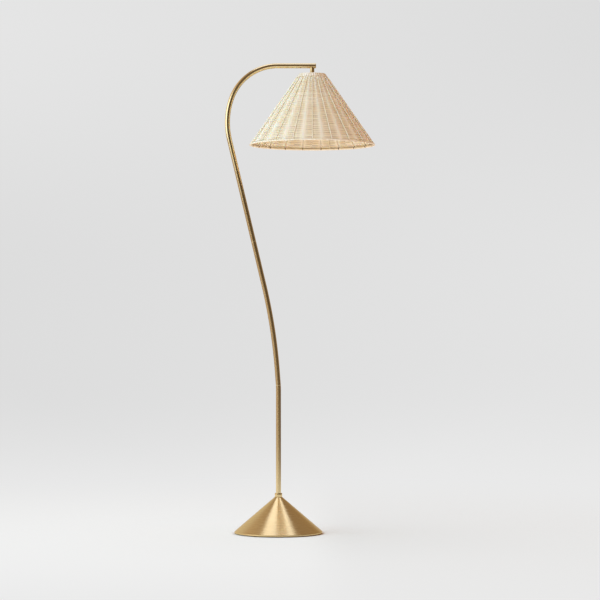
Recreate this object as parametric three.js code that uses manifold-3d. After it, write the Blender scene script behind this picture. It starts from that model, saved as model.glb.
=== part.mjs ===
// Rattan floor lamp: a bent brass pole on a spun cone base, with a woven cone shade hung from its arm.
// Millimetres, +Z up. The origin is the middle of the foot pad, on the floor. +X runs along the arm
// towards the shade, and +Y points to the back, where the lead leaves the base.

import * as THREE from 'three';
import { mergeVertices } from 'three/addons/utils/BufferGeometryUtils.js';
import Module from 'manifold-3d';

const wasm = await Module();
wasm.setup();

// Fits and cuts
const seatGap = 0.3; // between pieces that sit in or on each other
const cutOverrun = 3; // how far a cutter runs past the face that it cuts
const bendTolerance = 0.25; // how far a bent tube's chords may lie inside its true curve

// Base shell
const baseRadius = 143;
const rimLift = 2.5; // the rim's height over the floor
const rimHeight = 4; // upright edge under the cone
const rimRound = 1.5;
const hemWidth = 7; // the edge turned in under the shell
const shellWall = 1.5;
const coneTopRadius = 11.5;
const coneTopHeight = 118.6;

// Foot pad, bottom plate and its screws
const padThickness = 2;
const padInset = 4; // the pad's edge, inside the hem's edge
const plateThickness = 1.5;
const screwCount = 3;
const screwCircle = 70; // radius of the circle that the screws stand on
const screwRadius = 2;
const screwHeadRadius = 3.8;
const screwHeadHeight = 1.2;
const screwLength = 10;

// Cast weight
const weightInset = 13; // the weight's edge, inside the rim's edge
const weightThickness = 16;
const bossRadius = 26;
const bossHeight = 20;
const bossWeb = 10; // iron left over the recess
const recessMargin = 3; // room round the lead's bend in the recess
const grooveDepth = 10;
const grooveWidth = 9;

// Threaded nipples, washer and nuts
const nippleRadius = 5;
const nippleBore = 3.2;
const nippleProud = 1.5; // thread showing past a nut
const nutAcrossFlats = 17;
const nutThickness = 5;
const thinNutThickness = 4;
const washerRadius = 11;
const washerThickness = 1.5;

// Collar on top of the cone
const collarRadius = 11.85;
const collarHeight = 11.7;
const collarChamfer = 0.8;

// Cord bushing at the back of the rim, and the lead inside the lamp
const bushingRadius = 4;
const bushingLength = 16;
const bushingLipRadius = 5;
const bushingLip = 1.5;
const bushingStandout = 4; // past the rim
const leadRadius = 2.25;
const leadRecess = 1; // the lead's end, inside the bushing's mouth
const leadArmBend = 9;

// Pole tube, in three lengths screwed together
const poleRadius = 8;
const poleWall = 1.2;
const lowerPoleLength = 360;
const middlePoleLength = 472.7;

// Bends of the pole, from the floor up
const straightRise = 463.5; // height where the first bend starts
const kneeRadius = 288.6;
const kneeAngle = 4.24;
const kneeStraight = 37.9;
const sweepRadius = 1786.5;
const sweepAngle = 9.1;
const backStraight = 486.5;
const shoulderRadius = 238.5;
const shoulderAngle = 32.64;
const crownRadius = 157.6;
const armLength = 125.1; // straight arm, to the end of its cap

// Inserts and studs where the pole's lengths meet
const insertLength = 20;
const insertSetback = 2; // the foot insert's lower face, over the pole's end
const studThread = 16;
const studShank = 14;

// End cap of the arm
const capFlange = 2;
const capPlug = 4;
const capChamfer = 0.5;

// Sleeve under the arm that the lamp holder hangs from
const dropSetback = 12.3; // the sleeve's axis, back from the arm's end
const sleeveRadius = 6.9;
const sleeveDrop = 26.5; // the sleeve's lower end, under the arm's centreline

// Lamp holder
const cupRadius = 21;
const cupHeight = 38;
const cupWall = 1;
const cupRound = 6;
const skirtInsert = 8; // the skirt's part inside the cup
const shoulderFlangeRadius = 22;
const shoulderFlange = 3;
const threadRadius = 19;
const threadLength = 22;
const blockRadius = 16;
const blockHeight = 15;
const blockSpigot = 6;
const liningRadius = 13.9;
const liningWall = 0.5;
const liningLength = 24;
const liningHole = 5;
const contactStemRadius = 2;
const contactStem = 2.2;
const contactRadius = 4;
const contactThickness = 1;

// Rotary switch on the lamp holder's side
const stemRadius = 2;
const stemDepth = 8; // the stem's part inside the block
const knobRadius = 5;
const knobLength = 18;
const knobStandout = 5; // the knob's inner end, out from the cup's wall
const knobSocket = 10; // depth of the hole for the stem
const knobFluteRadius = 1;
const knobFluteCount = 8;

// Ring nut that clamps the shade
const ringNutRadius = 26.5;
const ringNutHeight = 8;
const ringNutChamfer = 1;

// Shade
const shadeDrop = 26.1; // the shade's top, under the arm's centreline
const shadeTopRadius = 42.5;
const shadeBottomRadius = 205;
const shadeHeight = 232.4;
const coverThickness = 3.5;
const topBindingHeight = 12;
const bottomBindingHeight = 5;

// Shade's wire frame
const ringWireRadius = 2;
const ribWireRadius = 1.5;
const ribCount = 5;
const topRingDepth = 6; // the ring's centre, under the shade's top
const bottomRingLift = 3; // the ring's centre, over the shade's bottom
const fitterRadius = 25;
const fitterThickness = 1.5;
const armWireRadius = 1.5;
const armCount = 3;
const armRootInset = 2; // the arms' roots, in from the fitter's edge
const armBulgeShare = 0.8; // how far out along its span an arm runs before it turns up

// Bulb
const bulbLength = 110;
const bulbRadius = 30;
const bulbWall = 0.9;
const bulbNeckRadius = 12.2;
const bulbShoulderAngle = 52; // above the globe's equator, where the neck's flare starts
const capRadius = 13.1;
const capWall = 0.5;
const capLength = 22;
const capHole = 6;
const tipRadius = 4.5;
const tipHeight = 1.5;
const insulatorHeight = 3;
const insulatorTopRadius = 5.5;
const insulatorBottomRadius = 11.5;
const neckInsert = 16; // the glass neck's part inside the screw cap

// Facets round each kind of piece
const shellSides = 40;
const wideSides = 8 * ribCount; // so that each rib lies along a corner of the cover
const holderSides = 20;
const bulbSides = 20;
const tubeSides = 16;
const smallSides = 12;
const leadSides = 8;
const ringWireSides = 6;
const roundSteps = 3;

// Levels in the base, from the floor up
const rimTop = rimLift + rimHeight;
const hemRadius = baseRadius - hemWidth;
const weightRadius = baseRadius - weightInset;
const plateBottom = padThickness + seatGap;
const plateTop = plateBottom + plateThickness;
const weightBottom = plateTop + seatGap;
const weightTop = weightBottom + weightThickness;
const bossTop = weightTop + bossHeight;
const webBottom = bossTop - bossWeb;
const washerTop = webBottom - seatGap;
const baseNutTop = washerTop - washerThickness - seatGap;
const baseNippleBottom = baseNutTop - nutThickness - nippleProud;
const leadHeight = weightBottom + grooveDepth / 2;
const leadBaseBend = baseNippleBottom - leadHeight;
const recessRadius = leadBaseBend + leadRadius + recessMargin;
const coneSlope = (baseRadius - coneTopRadius) / (coneTopHeight - rimTop);
const coneLean = Math.hypot(1, coneSlope); // level width of a wall of thickness 1 on the cone

// Sizes and levels of the pole
const poleBore = poleRadius - poleWall;
const insertRadius = poleBore - seatGap;
const poleFoot = coneTopHeight + seatGap;
const footInsertBottom = poleFoot + insertSetback;
const baseNippleTop = footInsertBottom + insertLength - nippleProud;
const crownAngle = 90 + kneeAngle + sweepAngle - shoulderAngle; // turns the arm level

// Levels under the arm, measured from its centreline
const cupTop = -sleeveDrop - seatGap;
const cupMouth = cupTop - cupHeight;
const cupBore = cupRadius - cupWall;
const cupNutTop = cupTop - cupWall - seatGap;
const dropNippleBottom = cupNutTop - thinNutThickness - nippleProud;
const dropNippleTop = -poleBore;
const skirtTop = cupMouth + skirtInsert;
const flangeTop = cupMouth - seatGap;
const flangeBottom = flangeTop - shoulderFlange;
const skirtBottom = flangeBottom - threadLength;
const skirtBore = liningRadius + seatGap;
const blockBottom = skirtTop + seatGap;
const blockTop = blockBottom + blockHeight;
const spigotBottom = blockBottom - blockSpigot;
const liningTop = spigotBottom - seatGap;
const contactBottom = liningTop - contactStem - contactThickness;
const switchLevel = blockBottom + blockHeight / 2;
const fitterTop = flangeBottom - seatGap;
const fitterBottom = fitterTop - fitterThickness;
const fitterBore = threadRadius + seatGap;
const ringNutTop = fitterBottom - seatGap;

// Levels and slopes of the shade, measured from the arm's centreline
const shadeTop = -shadeDrop;
const shadeBottom = shadeTop - shadeHeight;
const shadeSlope = (shadeBottomRadius - shadeTopRadius) / shadeHeight;
const shadeLean = Math.hypot(1, shadeSlope); // level width of a wall of thickness 1 on the shade
const topRingLevel = shadeTop - topRingDepth;
const bottomRingLevel = shadeBottom + bottomRingLift;

// Levels of the bulb, measured from the arm's centreline
const tipTop = contactBottom - seatGap;
const insulatorTop = tipTop - tipHeight - seatGap;
const capTop = insulatorTop - insulatorHeight - seatGap;
const capBottom = capTop - capLength;
const neckTop = capBottom + neckInsert;
const bulbBottom = tipTop - bulbLength;
const globeLevel = bulbBottom + bulbRadius;

// Directions
const alongX = new THREE.Vector3(1, 0, 0);
const alongY = new THREE.Vector3(0, 1, 0);
const alongZ = new THREE.Vector3(0, 0, 1);

const radians = THREE.MathUtils.degToRad;

// Route of a tube: straight stretches and round bends, laid end to end
class Route {
  constructor(start, heading) {
    this.stretches = [];
    this.length = 0;
    this.end = start.clone();
    this.heading = heading.clone();
  }

  straight(length) {
    this.stretches.push({ start: this.length, length, point: this.end.clone(), heading: this.heading.clone() });
    this.end.addScaledVector(this.heading, length);
    this.length += length;
    return this;
  }

  bend(radius, angle, axis) {
    const turn = radians(angle);
    const length = radius * Math.abs(turn);
    const side = Math.sign(turn) * radius;
    const centre = axis.clone().cross(this.heading).multiplyScalar(side).add(this.end);
    const point = this.end.clone();
    const heading = this.heading.clone();
    this.stretches.push({ start: this.length, length, point, heading, centre, axis, turn, radius });
    this.end.sub(centre).applyAxisAngle(axis, turn).add(centre);
    this.heading.applyAxisAngle(axis, turn);
    this.length += length;
    return this;
  }

  // Point and heading at a distance from the start
  at(distance) {
    const last = this.stretches[this.stretches.length - 1];
    const stretch = this.stretches.find((each) => distance <= each.start + each.length) ?? last;
    const travel = distance - stretch.start;
    const point = stretch.point.clone();
    const heading = stretch.heading.clone();
    if (!stretch.centre) {
      return { point: point.addScaledVector(heading, travel), heading };
    }
    const turned = stretch.turn * (travel / stretch.length);
    point.sub(stretch.centre).applyAxisAngle(stretch.axis, turned).add(stretch.centre);
    return { point, heading: heading.applyAxisAngle(stretch.axis, turned) };
  }

  // Distances of the rings that a tube needs between two places
  stations(from, to) {
    const places = [from];
    for (const stretch of this.stretches) {
      const start = Math.max(from, stretch.start);
      const end = Math.min(to, stretch.start + stretch.length);
      if (end <= start) {
        continue;
      }
      const widest = stretch.centre ? 2 * Math.acos(1 - bendTolerance / stretch.radius) * stretch.radius : Infinity;
      const count = Math.max(1, Math.ceil((end - start) / widest));
      for (let step = 1; step <= count; step += 1) {
        places.push(start + (end - start) * (step / count));
      }
    }
    return places;
  }

  piece(from, to) {
    return new RingCurve(this.stations(from, to).map((distance) => this.at(distance)));
  }
}

// Curve whose rings lie exactly on the stations of a route
class RingCurve extends THREE.Curve {
  constructor(rings) {
    super();
    this.rings = rings;
  }

  ringAt(share) {
    return this.rings[Math.round(share * (this.rings.length - 1))];
  }

  getPoint(share) {
    return this.ringAt(share).point.clone();
  }

  getPointAt(share) {
    return this.getPoint(share);
  }

  getTangent(share) {
    return this.ringAt(share).heading.clone();
  }

  getTangentAt(share) {
    return this.getTangent(share);
  }

  getSpacedPoints() {
    return this.rings.map((ring) => ring.point.clone());
  }
}

// Bends of the pole, added to a route that rises from the floor
function followPole(route) {
  route.bend(kneeRadius, -kneeAngle, alongY);
  route.straight(kneeStraight);
  route.bend(sweepRadius, -sweepAngle, alongY);
  route.straight(backStraight);
  route.bend(shoulderRadius, shoulderAngle, alongY);
  route.bend(crownRadius, crownAngle, alongY);
  return route;
}

function makePoleRoute() {
  const foot = new THREE.Vector3(0, 0, poleFoot);
  const route = new Route(foot, alongZ).straight(straightRise - poleFoot);
  return followPole(route).straight(armLength);
}

const poleRoute = makePoleRoute();
const armEnd = poleRoute.end.clone();
const dropAxis = armEnd.clone().addScaledVector(alongX, -dropSetback);

// Solid turned about Z from an outline of [radius, height] points, which starts and ends on the
// axis or closes on itself
function turned(outline, sides) {
  const points = outline.map(([radius, height]) => new THREE.Vector2(radius, height));
  return new THREE.LatheGeometry(points, sides).rotateX(Math.PI / 2);
}

function closed(outline) {
  return [...outline, outline[0]];
}

function pipe(outer, inner, bottom, top, sides) {
  return turned(closed([[inner, bottom], [outer, bottom], [outer, top], [inner, top]]), sides);
}

function disc(radius, bottom, top, sides) {
  return turned([[0, bottom], [radius, bottom], [radius, top], [0, top]], sides);
}

// Points of a round corner, as an arc between two angles in degrees
function arc(centreRadius, centreHeight, radius, from, to, steps) {
  const points = [];
  for (let step = 0; step <= steps; step += 1) {
    const angle = radians(from + (to - from) * (step / steps));
    points.push([centreRadius + radius * Math.cos(angle), centreHeight + radius * Math.sin(angle)]);
  }
  return points;
}

function circle(radius) {
  return new THREE.Path().absarc(0, 0, radius, 0, 2 * Math.PI);
}

// Round tube or rod along a curve; a bore of zero makes a rod
function drawn(curve, outer, bore, sides) {
  const section = new THREE.Shape(circle(outer).getPoints(sides / 2).slice(1));
  if (bore > 0) {
    section.holes.push(circle(bore));
  }
  const steps = curve.rings.length - 1;
  return new THREE.ExtrudeGeometry(section, { steps, extrudePath: curve, curveSegments: smallSides / 2 });
}

function hexNut(acrossFlats, bore, bottom, thickness) {
  const corner = acrossFlats / Math.sqrt(3);
  const outline = new THREE.Shape();
  for (let side = 0; side < 6; side += 1) {
    const angle = radians(60 * side);
    const move = side === 0 ? 'moveTo' : 'lineTo';
    outline[move](corner * Math.cos(angle), corner * Math.sin(angle));
  }
  outline.closePath();
  outline.holes.push(circle(bore));
  const options = { depth: thickness, bevelEnabled: false, curveSegments: smallSides / 2 };
  return new THREE.ExtrudeGeometry(outline, options).translate(0, 0, bottom);
}

// Closed geometry as a solid that can be cut and joined
function solidOf(geometry) {
  const bare = geometry.clone();
  bare.deleteAttribute('normal');
  bare.deleteAttribute('uv');
  const merged = mergeVertices(bare);
  const corners = Array.from(merged.index.array);
  const faces = [];
  for (let first = 0; first < corners.length; first += 3) {
    const face = corners.slice(first, first + 3);
    if (new Set(face).size === 3) {
      faces.push(...face);
    }
  }
  const vertProperties = Float32Array.from(merged.attributes.position.array);
  const triVerts = Uint32Array.from(faces);
  return new wasm.Manifold(new wasm.Mesh({ numProp: 3, vertProperties, triVerts }));
}

function geometryOf(solid) {
  const mesh = solid.getMesh();
  const geometry = new THREE.BufferGeometry();
  geometry.setAttribute('position', new THREE.BufferAttribute(mesh.vertProperties, 3));
  geometry.setIndex(new THREE.BufferAttribute(mesh.triVerts, 1));
  return geometry;
}

function cut(geometry, ...cutters) {
  const rest = cutters.reduce((solid, cutter) => solid.subtract(solidOf(cutter)), solidOf(geometry));
  return geometryOf(rest);
}

function joined(geometry, ...others) {
  const whole = others.reduce((solid, other) => solid.add(solidOf(other)), solidOf(geometry));
  return geometryOf(whole);
}

// Copies of a cutter or piece spaced evenly round Z
function roundZ(count, make) {
  return Array.from({ length: count }, (_, index) => make((2 * Math.PI * index) / count, index));
}

// Finishes
function finish(color, roughness, metalness) {
  return new THREE.MeshStandardMaterial({ color, roughness, metalness });
}

const satinBrass = finish(0xc2a066, 0.35, 1);
const plainSteel = finish(0x9a9c9e, 0.4, 1);
const castIron = finish(0x3c3d3f, 0.8, 0.6);
const greyFelt = finish(0x4a4744, 0.95, 0);
const blackPlastic = finish(0x1d1c1b, 0.5, 0);
const whitePorcelain = finish(0xece8dd, 0.3, 0);
const rattanCore = finish(0xd9c096, 0.7, 0);
const rattanPeel = finish(0xe9dcbb, 0.5, 0);
const creamWire = finish(0xd8c8a4, 0.5, 0.4);
const frostedGlass = finish(0xf4f2ec, 0.4, 0);
const plainAluminium = finish(0xb9bbbd, 0.35, 1);

function part(name, geometry, material) {
  const mesh = new THREE.Mesh(geometry, material);
  mesh.name = name;
  return mesh;
}

function at(object, x, y, z) {
  object.position.set(x, y, z);
  return object;
}

// Base: shell, weight, plate, pad and what clamps them

// Level distance from the axis to the cone's outside at a height
function coneRadiusAt(height) {
  return baseRadius - coneSlope * (height - rimTop);
}

function makeBaseCone() {
  const insideTop = coneTopHeight - shellWall;
  const innerRadius = baseRadius - shellWall;
  const innerRimTop = rimTop - (shellWall * coneLean - shellWall) / coneSlope;
  const holeRadius = nippleRadius + seatGap;
  const shell = turned(closed([
    [hemRadius, rimLift],
    ...arc(baseRadius - rimRound, rimLift + rimRound, rimRound, -90, 0, roundSteps),
    [baseRadius, rimTop],
    [coneTopRadius, coneTopHeight],
    [holeRadius, coneTopHeight],
    [holeRadius, insideTop],
    [coneRadiusAt(insideTop) - shellWall * coneLean, insideTop],
    [innerRadius, innerRimTop],
    [innerRadius, rimLift + shellWall],
    [hemRadius, rimLift + shellWall],
  ]), shellSides);
  const bushingHole = disc(bushingRadius + seatGap, 0, baseRadius + cutOverrun, smallSides);
  bushingHole.rotateX(-Math.PI / 2).translate(0, 0, leadHeight);
  return cut(shell, bushingHole);
}

function makeBaseWeight() {
  const inset = (shellWall + seatGap) * coneLean;
  const sideTop = rimTop + (baseRadius - inset - weightRadius) / coneSlope;
  const casting = turned(closed([
    [recessRadius, weightBottom],
    [weightRadius, weightBottom],
    [weightRadius, sideTop],
    [coneRadiusAt(weightTop) - inset, weightTop],
    [bossRadius, weightTop],
    [bossRadius, bossTop],
    [nippleRadius + seatGap, bossTop],
    [nippleRadius + seatGap, webBottom],
    [recessRadius, webBottom],
  ]), shellSides);
  const grooveLength = weightRadius + cutOverrun;
  const grooveHeight = grooveDepth + cutOverrun;
  const groove = new THREE.BoxGeometry(grooveWidth, grooveLength, grooveHeight);
  groove.translate(0, grooveLength / 2, weightBottom + grooveDepth - grooveHeight / 2);
  const holeTop = plateBottom + screwLength + seatGap;
  const holes = screwPlaces().map(([x, y]) => {
    const hole = disc(screwRadius + seatGap, plateBottom, holeTop, smallSides);
    return hole.translate(x, y, 0);
  });
  return cut(casting, groove, ...holes);
}

function screwPlaces() {
  return roundZ(screwCount, (angle) => [screwCircle * Math.cos(angle), screwCircle * Math.sin(angle)]);
}

function makePlateScrew() {
  return turned([
    [0, plateBottom],
    [screwHeadRadius, plateBottom],
    [screwRadius, plateBottom + screwHeadHeight],
    [screwRadius, plateBottom + screwLength],
    [0, plateBottom + screwLength],
  ], smallSides);
}

// Countersunk hole that a screw leaves in the plate
function makeScrewHole() {
  const below = plateBottom - cutOverrun;
  const above = plateTop + cutOverrun;
  return turned([
    [0, below],
    [screwHeadRadius + seatGap, below],
    [screwHeadRadius + seatGap, plateBottom],
    [screwRadius + seatGap, plateBottom + screwHeadHeight],
    [screwRadius + seatGap, above],
    [0, above],
  ], smallSides);
}

function makeBottomPlate() {
  const plate = disc(hemRadius - seatGap, plateBottom, plateTop, shellSides);
  const holes = screwPlaces().map(([x, y]) => makeScrewHole().translate(x, y, 0));
  return cut(plate, ...holes);
}

function makeCollar() {
  const top = poleFoot + collarHeight;
  return turned(closed([
    [poleRadius + seatGap, poleFoot],
    [collarRadius, poleFoot],
    [collarRadius, top - collarChamfer],
    [collarRadius - collarChamfer, top],
    [poleRadius + seatGap, top],
  ]), tubeSides);
}

function makeBushing() {
  const outer = baseRadius + bushingStandout;
  const lip = outer - bushingLip;
  const bushing = turned(closed([
    [leadRadius + seatGap, outer - bushingLength],
    [bushingRadius, outer - bushingLength],
    [bushingRadius, lip],
    [bushingLipRadius, lip],
    [bushingLipRadius, outer],
    [leadRadius + seatGap, outer],
  ]), smallSides);
  return bushing.rotateX(-Math.PI / 2).translate(0, 0, leadHeight);
}

function makeBase() {
  const base = new THREE.Group();
  base.add(part('base_cone', makeBaseCone(), satinBrass));
  base.add(part('base_weight', makeBaseWeight(), castIron));
  base.add(part('bottom_plate', makeBottomPlate(), plainSteel));
  screwPlaces().forEach(([x, y], index) => {
    base.add(at(part(`plate_screw_${index + 1}`, makePlateScrew(), plainSteel), x, y, 0));
  });
  base.add(part('foot_pad', disc(hemRadius - padInset, 0, padThickness, shellSides), greyFelt));
  base.add(part('base_collar', makeCollar(), satinBrass));
  const nipple = pipe(nippleRadius, nippleBore, baseNippleBottom, baseNippleTop, smallSides);
  base.add(part('base_nipple', nipple, plainSteel));
  const washer = pipe(washerRadius, nippleRadius + seatGap, washerTop - washerThickness, washerTop, smallSides);
  base.add(part('base_washer', washer, plainSteel));
  const nut = hexNut(nutAcrossFlats, nippleRadius + seatGap, baseNutTop - nutThickness, nutThickness);
  base.add(part('base_nut', nut, plainSteel));
  base.add(part('cord_bushing', makeBushing(), blackPlastic));
  return base;
}

// Pole: three lengths of tube with an insert and a stud at each joint

function poleTube(from, to) {
  return drawn(poleRoute.piece(from, to), poleRadius, poleBore, tubeSides);
}

function jointSocket(joint) {
  const curve = poleRoute.piece(joint - insertLength, joint - seatGap / 2);
  return drawn(curve, insertRadius, nippleRadius + seatGap, smallSides);
}

function jointStud(joint) {
  const thread = drawn(poleRoute.piece(joint - studThread, joint + studShank), nippleRadius, nippleBore, smallSides);
  const shank = poleRoute.piece(joint + seatGap / 2, joint + studShank);
  return joined(drawn(shank, insertRadius, nippleBore, smallSides), thread);
}

function makeUpperPole(joint) {
  const tube = poleTube(joint + seatGap / 2, poleRoute.length - capFlange - seatGap);
  const hole = disc(nippleRadius + seatGap, -poleRadius - cutOverrun, 0, smallSides);
  return cut(tube, hole.translate(dropAxis.x, dropAxis.y, dropAxis.z));
}

function makeArmCap() {
  const plugRadius = insertRadius;
  const cap = turned([
    [0, -capFlange - capPlug],
    [plugRadius, -capFlange - capPlug],
    [plugRadius, -capFlange],
    [poleRadius, -capFlange],
    [poleRadius, -capChamfer],
    [poleRadius - capChamfer, 0],
    [0, 0],
  ], tubeSides);
  return cap.rotateY(Math.PI / 2);
}

function makePole() {
  const pole = new THREE.Group();
  const lowerJoint = lowerPoleLength;
  const upperJoint = lowerPoleLength + middlePoleLength;
  pole.add(part('lower_pole', poleTube(0, lowerJoint - seatGap / 2), satinBrass));
  pole.add(part('middle_pole', poleTube(lowerJoint + seatGap / 2, upperJoint - seatGap / 2), satinBrass));
  pole.add(part('upper_pole', makeUpperPole(upperJoint), satinBrass));
  const footInsertTop = footInsertBottom + insertLength;
  const footInsert = pipe(insertRadius, nippleRadius + seatGap, footInsertBottom, footInsertTop, smallSides);
  pole.add(part('foot_insert', footInsert, plainSteel));
  pole.add(part('lower_joint_socket', jointSocket(lowerJoint), plainSteel));
  pole.add(part('lower_joint_stud', jointStud(lowerJoint), plainSteel));
  pole.add(part('upper_joint_socket', jointSocket(upperJoint), plainSteel));
  pole.add(part('upper_joint_stud', jointStud(upperJoint), plainSteel));
  pole.add(at(part('arm_end_cap', makeArmCap(), satinBrass), armEnd.x, armEnd.y, armEnd.z));
  return pole;
}

// Lead inside the lamp, from the bushing through the weight's groove, up the pole and down into
// the lamp holder
function makeLead() {
  const start = baseRadius + bushingStandout - leadRecess;
  const route = new Route(new THREE.Vector3(0, start, leadHeight), alongY.clone().negate());
  route.straight(start - leadBaseBend);
  route.bend(leadBaseBend, 90, alongX.clone().negate());
  route.straight(straightRise - baseNippleBottom);
  followPole(route);
  route.straight(armLength - dropSetback - leadArmBend);
  route.bend(leadArmBend, 90, alongY);
  route.straight(-leadArmBend - blockTop - seatGap);
  return part('inner_lead', drawn(route.piece(0, route.length), leadRadius, 0, leadSides), blackPlastic);
}

// Lamp holder: sleeve, nipple, nut, cup, skirt, block, lining and contact

function makeSleeve() {
  const sleeve = pipe(sleeveRadius, nippleRadius + seatGap, -sleeveDrop, 0, tubeSides);
  const armCutter = disc(poleRadius + seatGap, -sleeveDrop, sleeveDrop, tubeSides * 2);
  return cut(sleeve, armCutter.rotateY(Math.PI / 2));
}

function makeCup() {
  const holeRadius = nippleRadius + seatGap;
  const cup = turned(closed([
    [cupBore, cupMouth],
    [cupRadius, cupMouth],
    ...arc(cupRadius - cupRound, cupTop - cupRound, cupRound, 0, 90, roundSteps),
    [holeRadius, cupTop],
    [holeRadius, cupTop - cupWall],
    ...arc(cupRadius - cupRound, cupTop - cupRound, cupRound - cupWall, 90, 0, roundSteps),
  ]), holderSides);
  const stemHole = disc(stemRadius + seatGap, 0, cupRadius + cutOverrun, smallSides);
  return cut(cup, stemHole.rotateY(Math.PI / 2).translate(0, 0, switchLevel));
}

function makeSkirt() {
  const insideCup = cupBore - seatGap;
  return turned(closed([
    [skirtBore, skirtBottom],
    [threadRadius, skirtBottom],
    [threadRadius, flangeBottom],
    [shoulderFlangeRadius, flangeBottom],
    [shoulderFlangeRadius, flangeTop],
    [insideCup, flangeTop],
    [insideCup, skirtTop],
    [skirtBore, skirtTop],
  ]), holderSides);
}

function makeBlock() {
  const block = turned([
    [0, spigotBottom],
    [liningRadius, spigotBottom],
    [liningRadius, blockBottom],
    [blockRadius, blockBottom],
    [blockRadius, blockTop],
    [0, blockTop],
  ], holderSides);
  const stemHole = disc(stemRadius + seatGap, blockRadius - stemDepth - seatGap, blockRadius + cutOverrun, smallSides);
  return cut(block, stemHole.rotateY(Math.PI / 2).translate(0, 0, switchLevel));
}

function makeLining() {
  const bore = liningRadius - liningWall;
  return turned(closed([
    [bore, liningTop - liningLength],
    [liningRadius, liningTop - liningLength],
    [liningRadius, liningTop],
    [liningHole, liningTop],
    [liningHole, liningTop - liningWall],
    [bore, liningTop - liningWall],
  ]), holderSides);
}

function makeContact() {
  const stemBottom = liningTop - contactStem;
  return turned([
    [0, contactBottom],
    [contactRadius, contactBottom],
    [contactRadius, stemBottom],
    [contactStemRadius, stemBottom],
    [contactStemRadius, liningTop],
    [0, liningTop],
  ], smallSides);
}

function makeHolder() {
  const holder = new THREE.Group();
  holder.add(part('drop_sleeve', makeSleeve(), satinBrass));
  const nipple = pipe(nippleRadius, nippleBore, dropNippleBottom, dropNippleTop, smallSides);
  holder.add(part('drop_nipple', nipple, plainSteel));
  const nutBottom = cupNutTop - thinNutThickness;
  const nut = hexNut(nutAcrossFlats, nippleRadius + seatGap, nutBottom, thinNutThickness);
  holder.add(part('cup_nut', nut, plainSteel));
  holder.add(part('holder_cup', makeCup(), satinBrass));
  holder.add(part('holder_skirt', makeSkirt(), blackPlastic));
  holder.add(part('terminal_block', makeBlock(), whitePorcelain));
  holder.add(part('screw_lining', makeLining(), plainAluminium));
  holder.add(part('centre_contact', makeContact(), satinBrass));
  return holder;
}

// Rotary switch: stem and fluted knob, on a level axis that points along +X

function makeStem() {
  const inner = blockRadius - stemDepth;
  const outer = cupRadius + knobStandout + knobSocket - seatGap;
  return disc(stemRadius, inner, outer, smallSides).rotateY(Math.PI / 2);
}

function makeKnob() {
  const inner = cupRadius + knobStandout;
  const outer = inner + knobLength;
  const socketDepth = inner + knobSocket;
  const knob = turned([
    [0, socketDepth],
    [stemRadius + seatGap, socketDepth],
    [stemRadius + seatGap, inner],
    [knobRadius, inner],
    ...arc(knobRadius - knobFluteRadius, outer - knobFluteRadius, knobFluteRadius, 0, 90, roundSteps),
    [0, outer],
  ], tubeSides);
  const flutes = roundZ(knobFluteCount, (angle) => {
    const flute = disc(knobFluteRadius, inner - cutOverrun, outer + cutOverrun, smallSides / 2);
    const reach = knobRadius + knobFluteRadius / 2;
    return flute.translate(reach * Math.cos(angle), reach * Math.sin(angle), 0);
  });
  return cut(knob, ...flutes).rotateY(Math.PI / 2);
}

function makeSwitch() {
  const rotary = new THREE.Group();
  rotary.add(part('switch_stem', makeStem(), satinBrass));
  rotary.add(part('switch_knob', makeKnob(), blackPlastic));
  return at(rotary, 0, 0, switchLevel);
}

function makeRingNut() {
  const bottom = ringNutTop - ringNutHeight;
  return turned(closed([
    [fitterBore, bottom],
    [ringNutRadius - ringNutChamfer, bottom],
    [ringNutRadius, bottom + ringNutChamfer],
    [ringNutRadius, ringNutTop - ringNutChamfer],
    [ringNutRadius - ringNutChamfer, ringNutTop],
    [fitterBore, ringNutTop],
  ]), holderSides);
}

// Shade: woven cover, its bindings and the wire frame inside

// Level distance from the shade's axis to its outside at a level
function shadeRadiusAt(level) {
  return shadeTopRadius + shadeSlope * (shadeTop - level);
}

// Level distance from the shade's axis to a wire that runs along the cover's inside
function wireRadiusAt(level, wireRadius) {
  return shadeRadiusAt(level) - (coverThickness + seatGap + wireRadius) * shadeLean;
}

function coverBand(bottom, top) {
  const inset = coverThickness * shadeLean;
  return turned(closed([
    [shadeRadiusAt(bottom) - inset, bottom],
    [shadeRadiusAt(bottom), bottom],
    [shadeRadiusAt(top), top],
    [shadeRadiusAt(top) - inset, top],
  ]), wideSides);
}

function wireRing(level) {
  const centre = wireRadiusAt(level, ringWireRadius);
  return turned(arc(centre, level, ringWireRadius, -180, 180, ringWireSides), wideSides);
}

// Place in the upright half plane where a rib wire stops short of a ring
function ribEnd(ringLevel, towards) {
  const down = new THREE.Vector2(shadeSlope, -1).normalize();
  const ring = new THREE.Vector2(wireRadiusAt(ringLevel, ringWireRadius), ringLevel);
  const onRib = new THREE.Vector2(wireRadiusAt(ringLevel, ribWireRadius), ringLevel);
  const foot = onRib.clone().addScaledVector(down, ring.sub(onRib).dot(down));
  return foot.addScaledVector(down, towards * (ringWireRadius + seatGap));
}

function rod(from, to, radius, sides) {
  const span = to.clone().sub(from);
  const heading = span.clone().normalize();
  const route = new Route(from, heading).straight(span.length());
  return drawn(route.piece(0, route.length), radius, 0, sides);
}

function makeRib(angle) {
  const top = ribEnd(topRingLevel, 1);
  const bottom = ribEnd(bottomRingLevel, -1);
  const from = new THREE.Vector3(top.x, 0, top.y);
  const to = new THREE.Vector3(bottom.x, 0, bottom.y);
  return rod(from, to, ribWireRadius, leadSides).rotateZ(angle);
}

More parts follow.
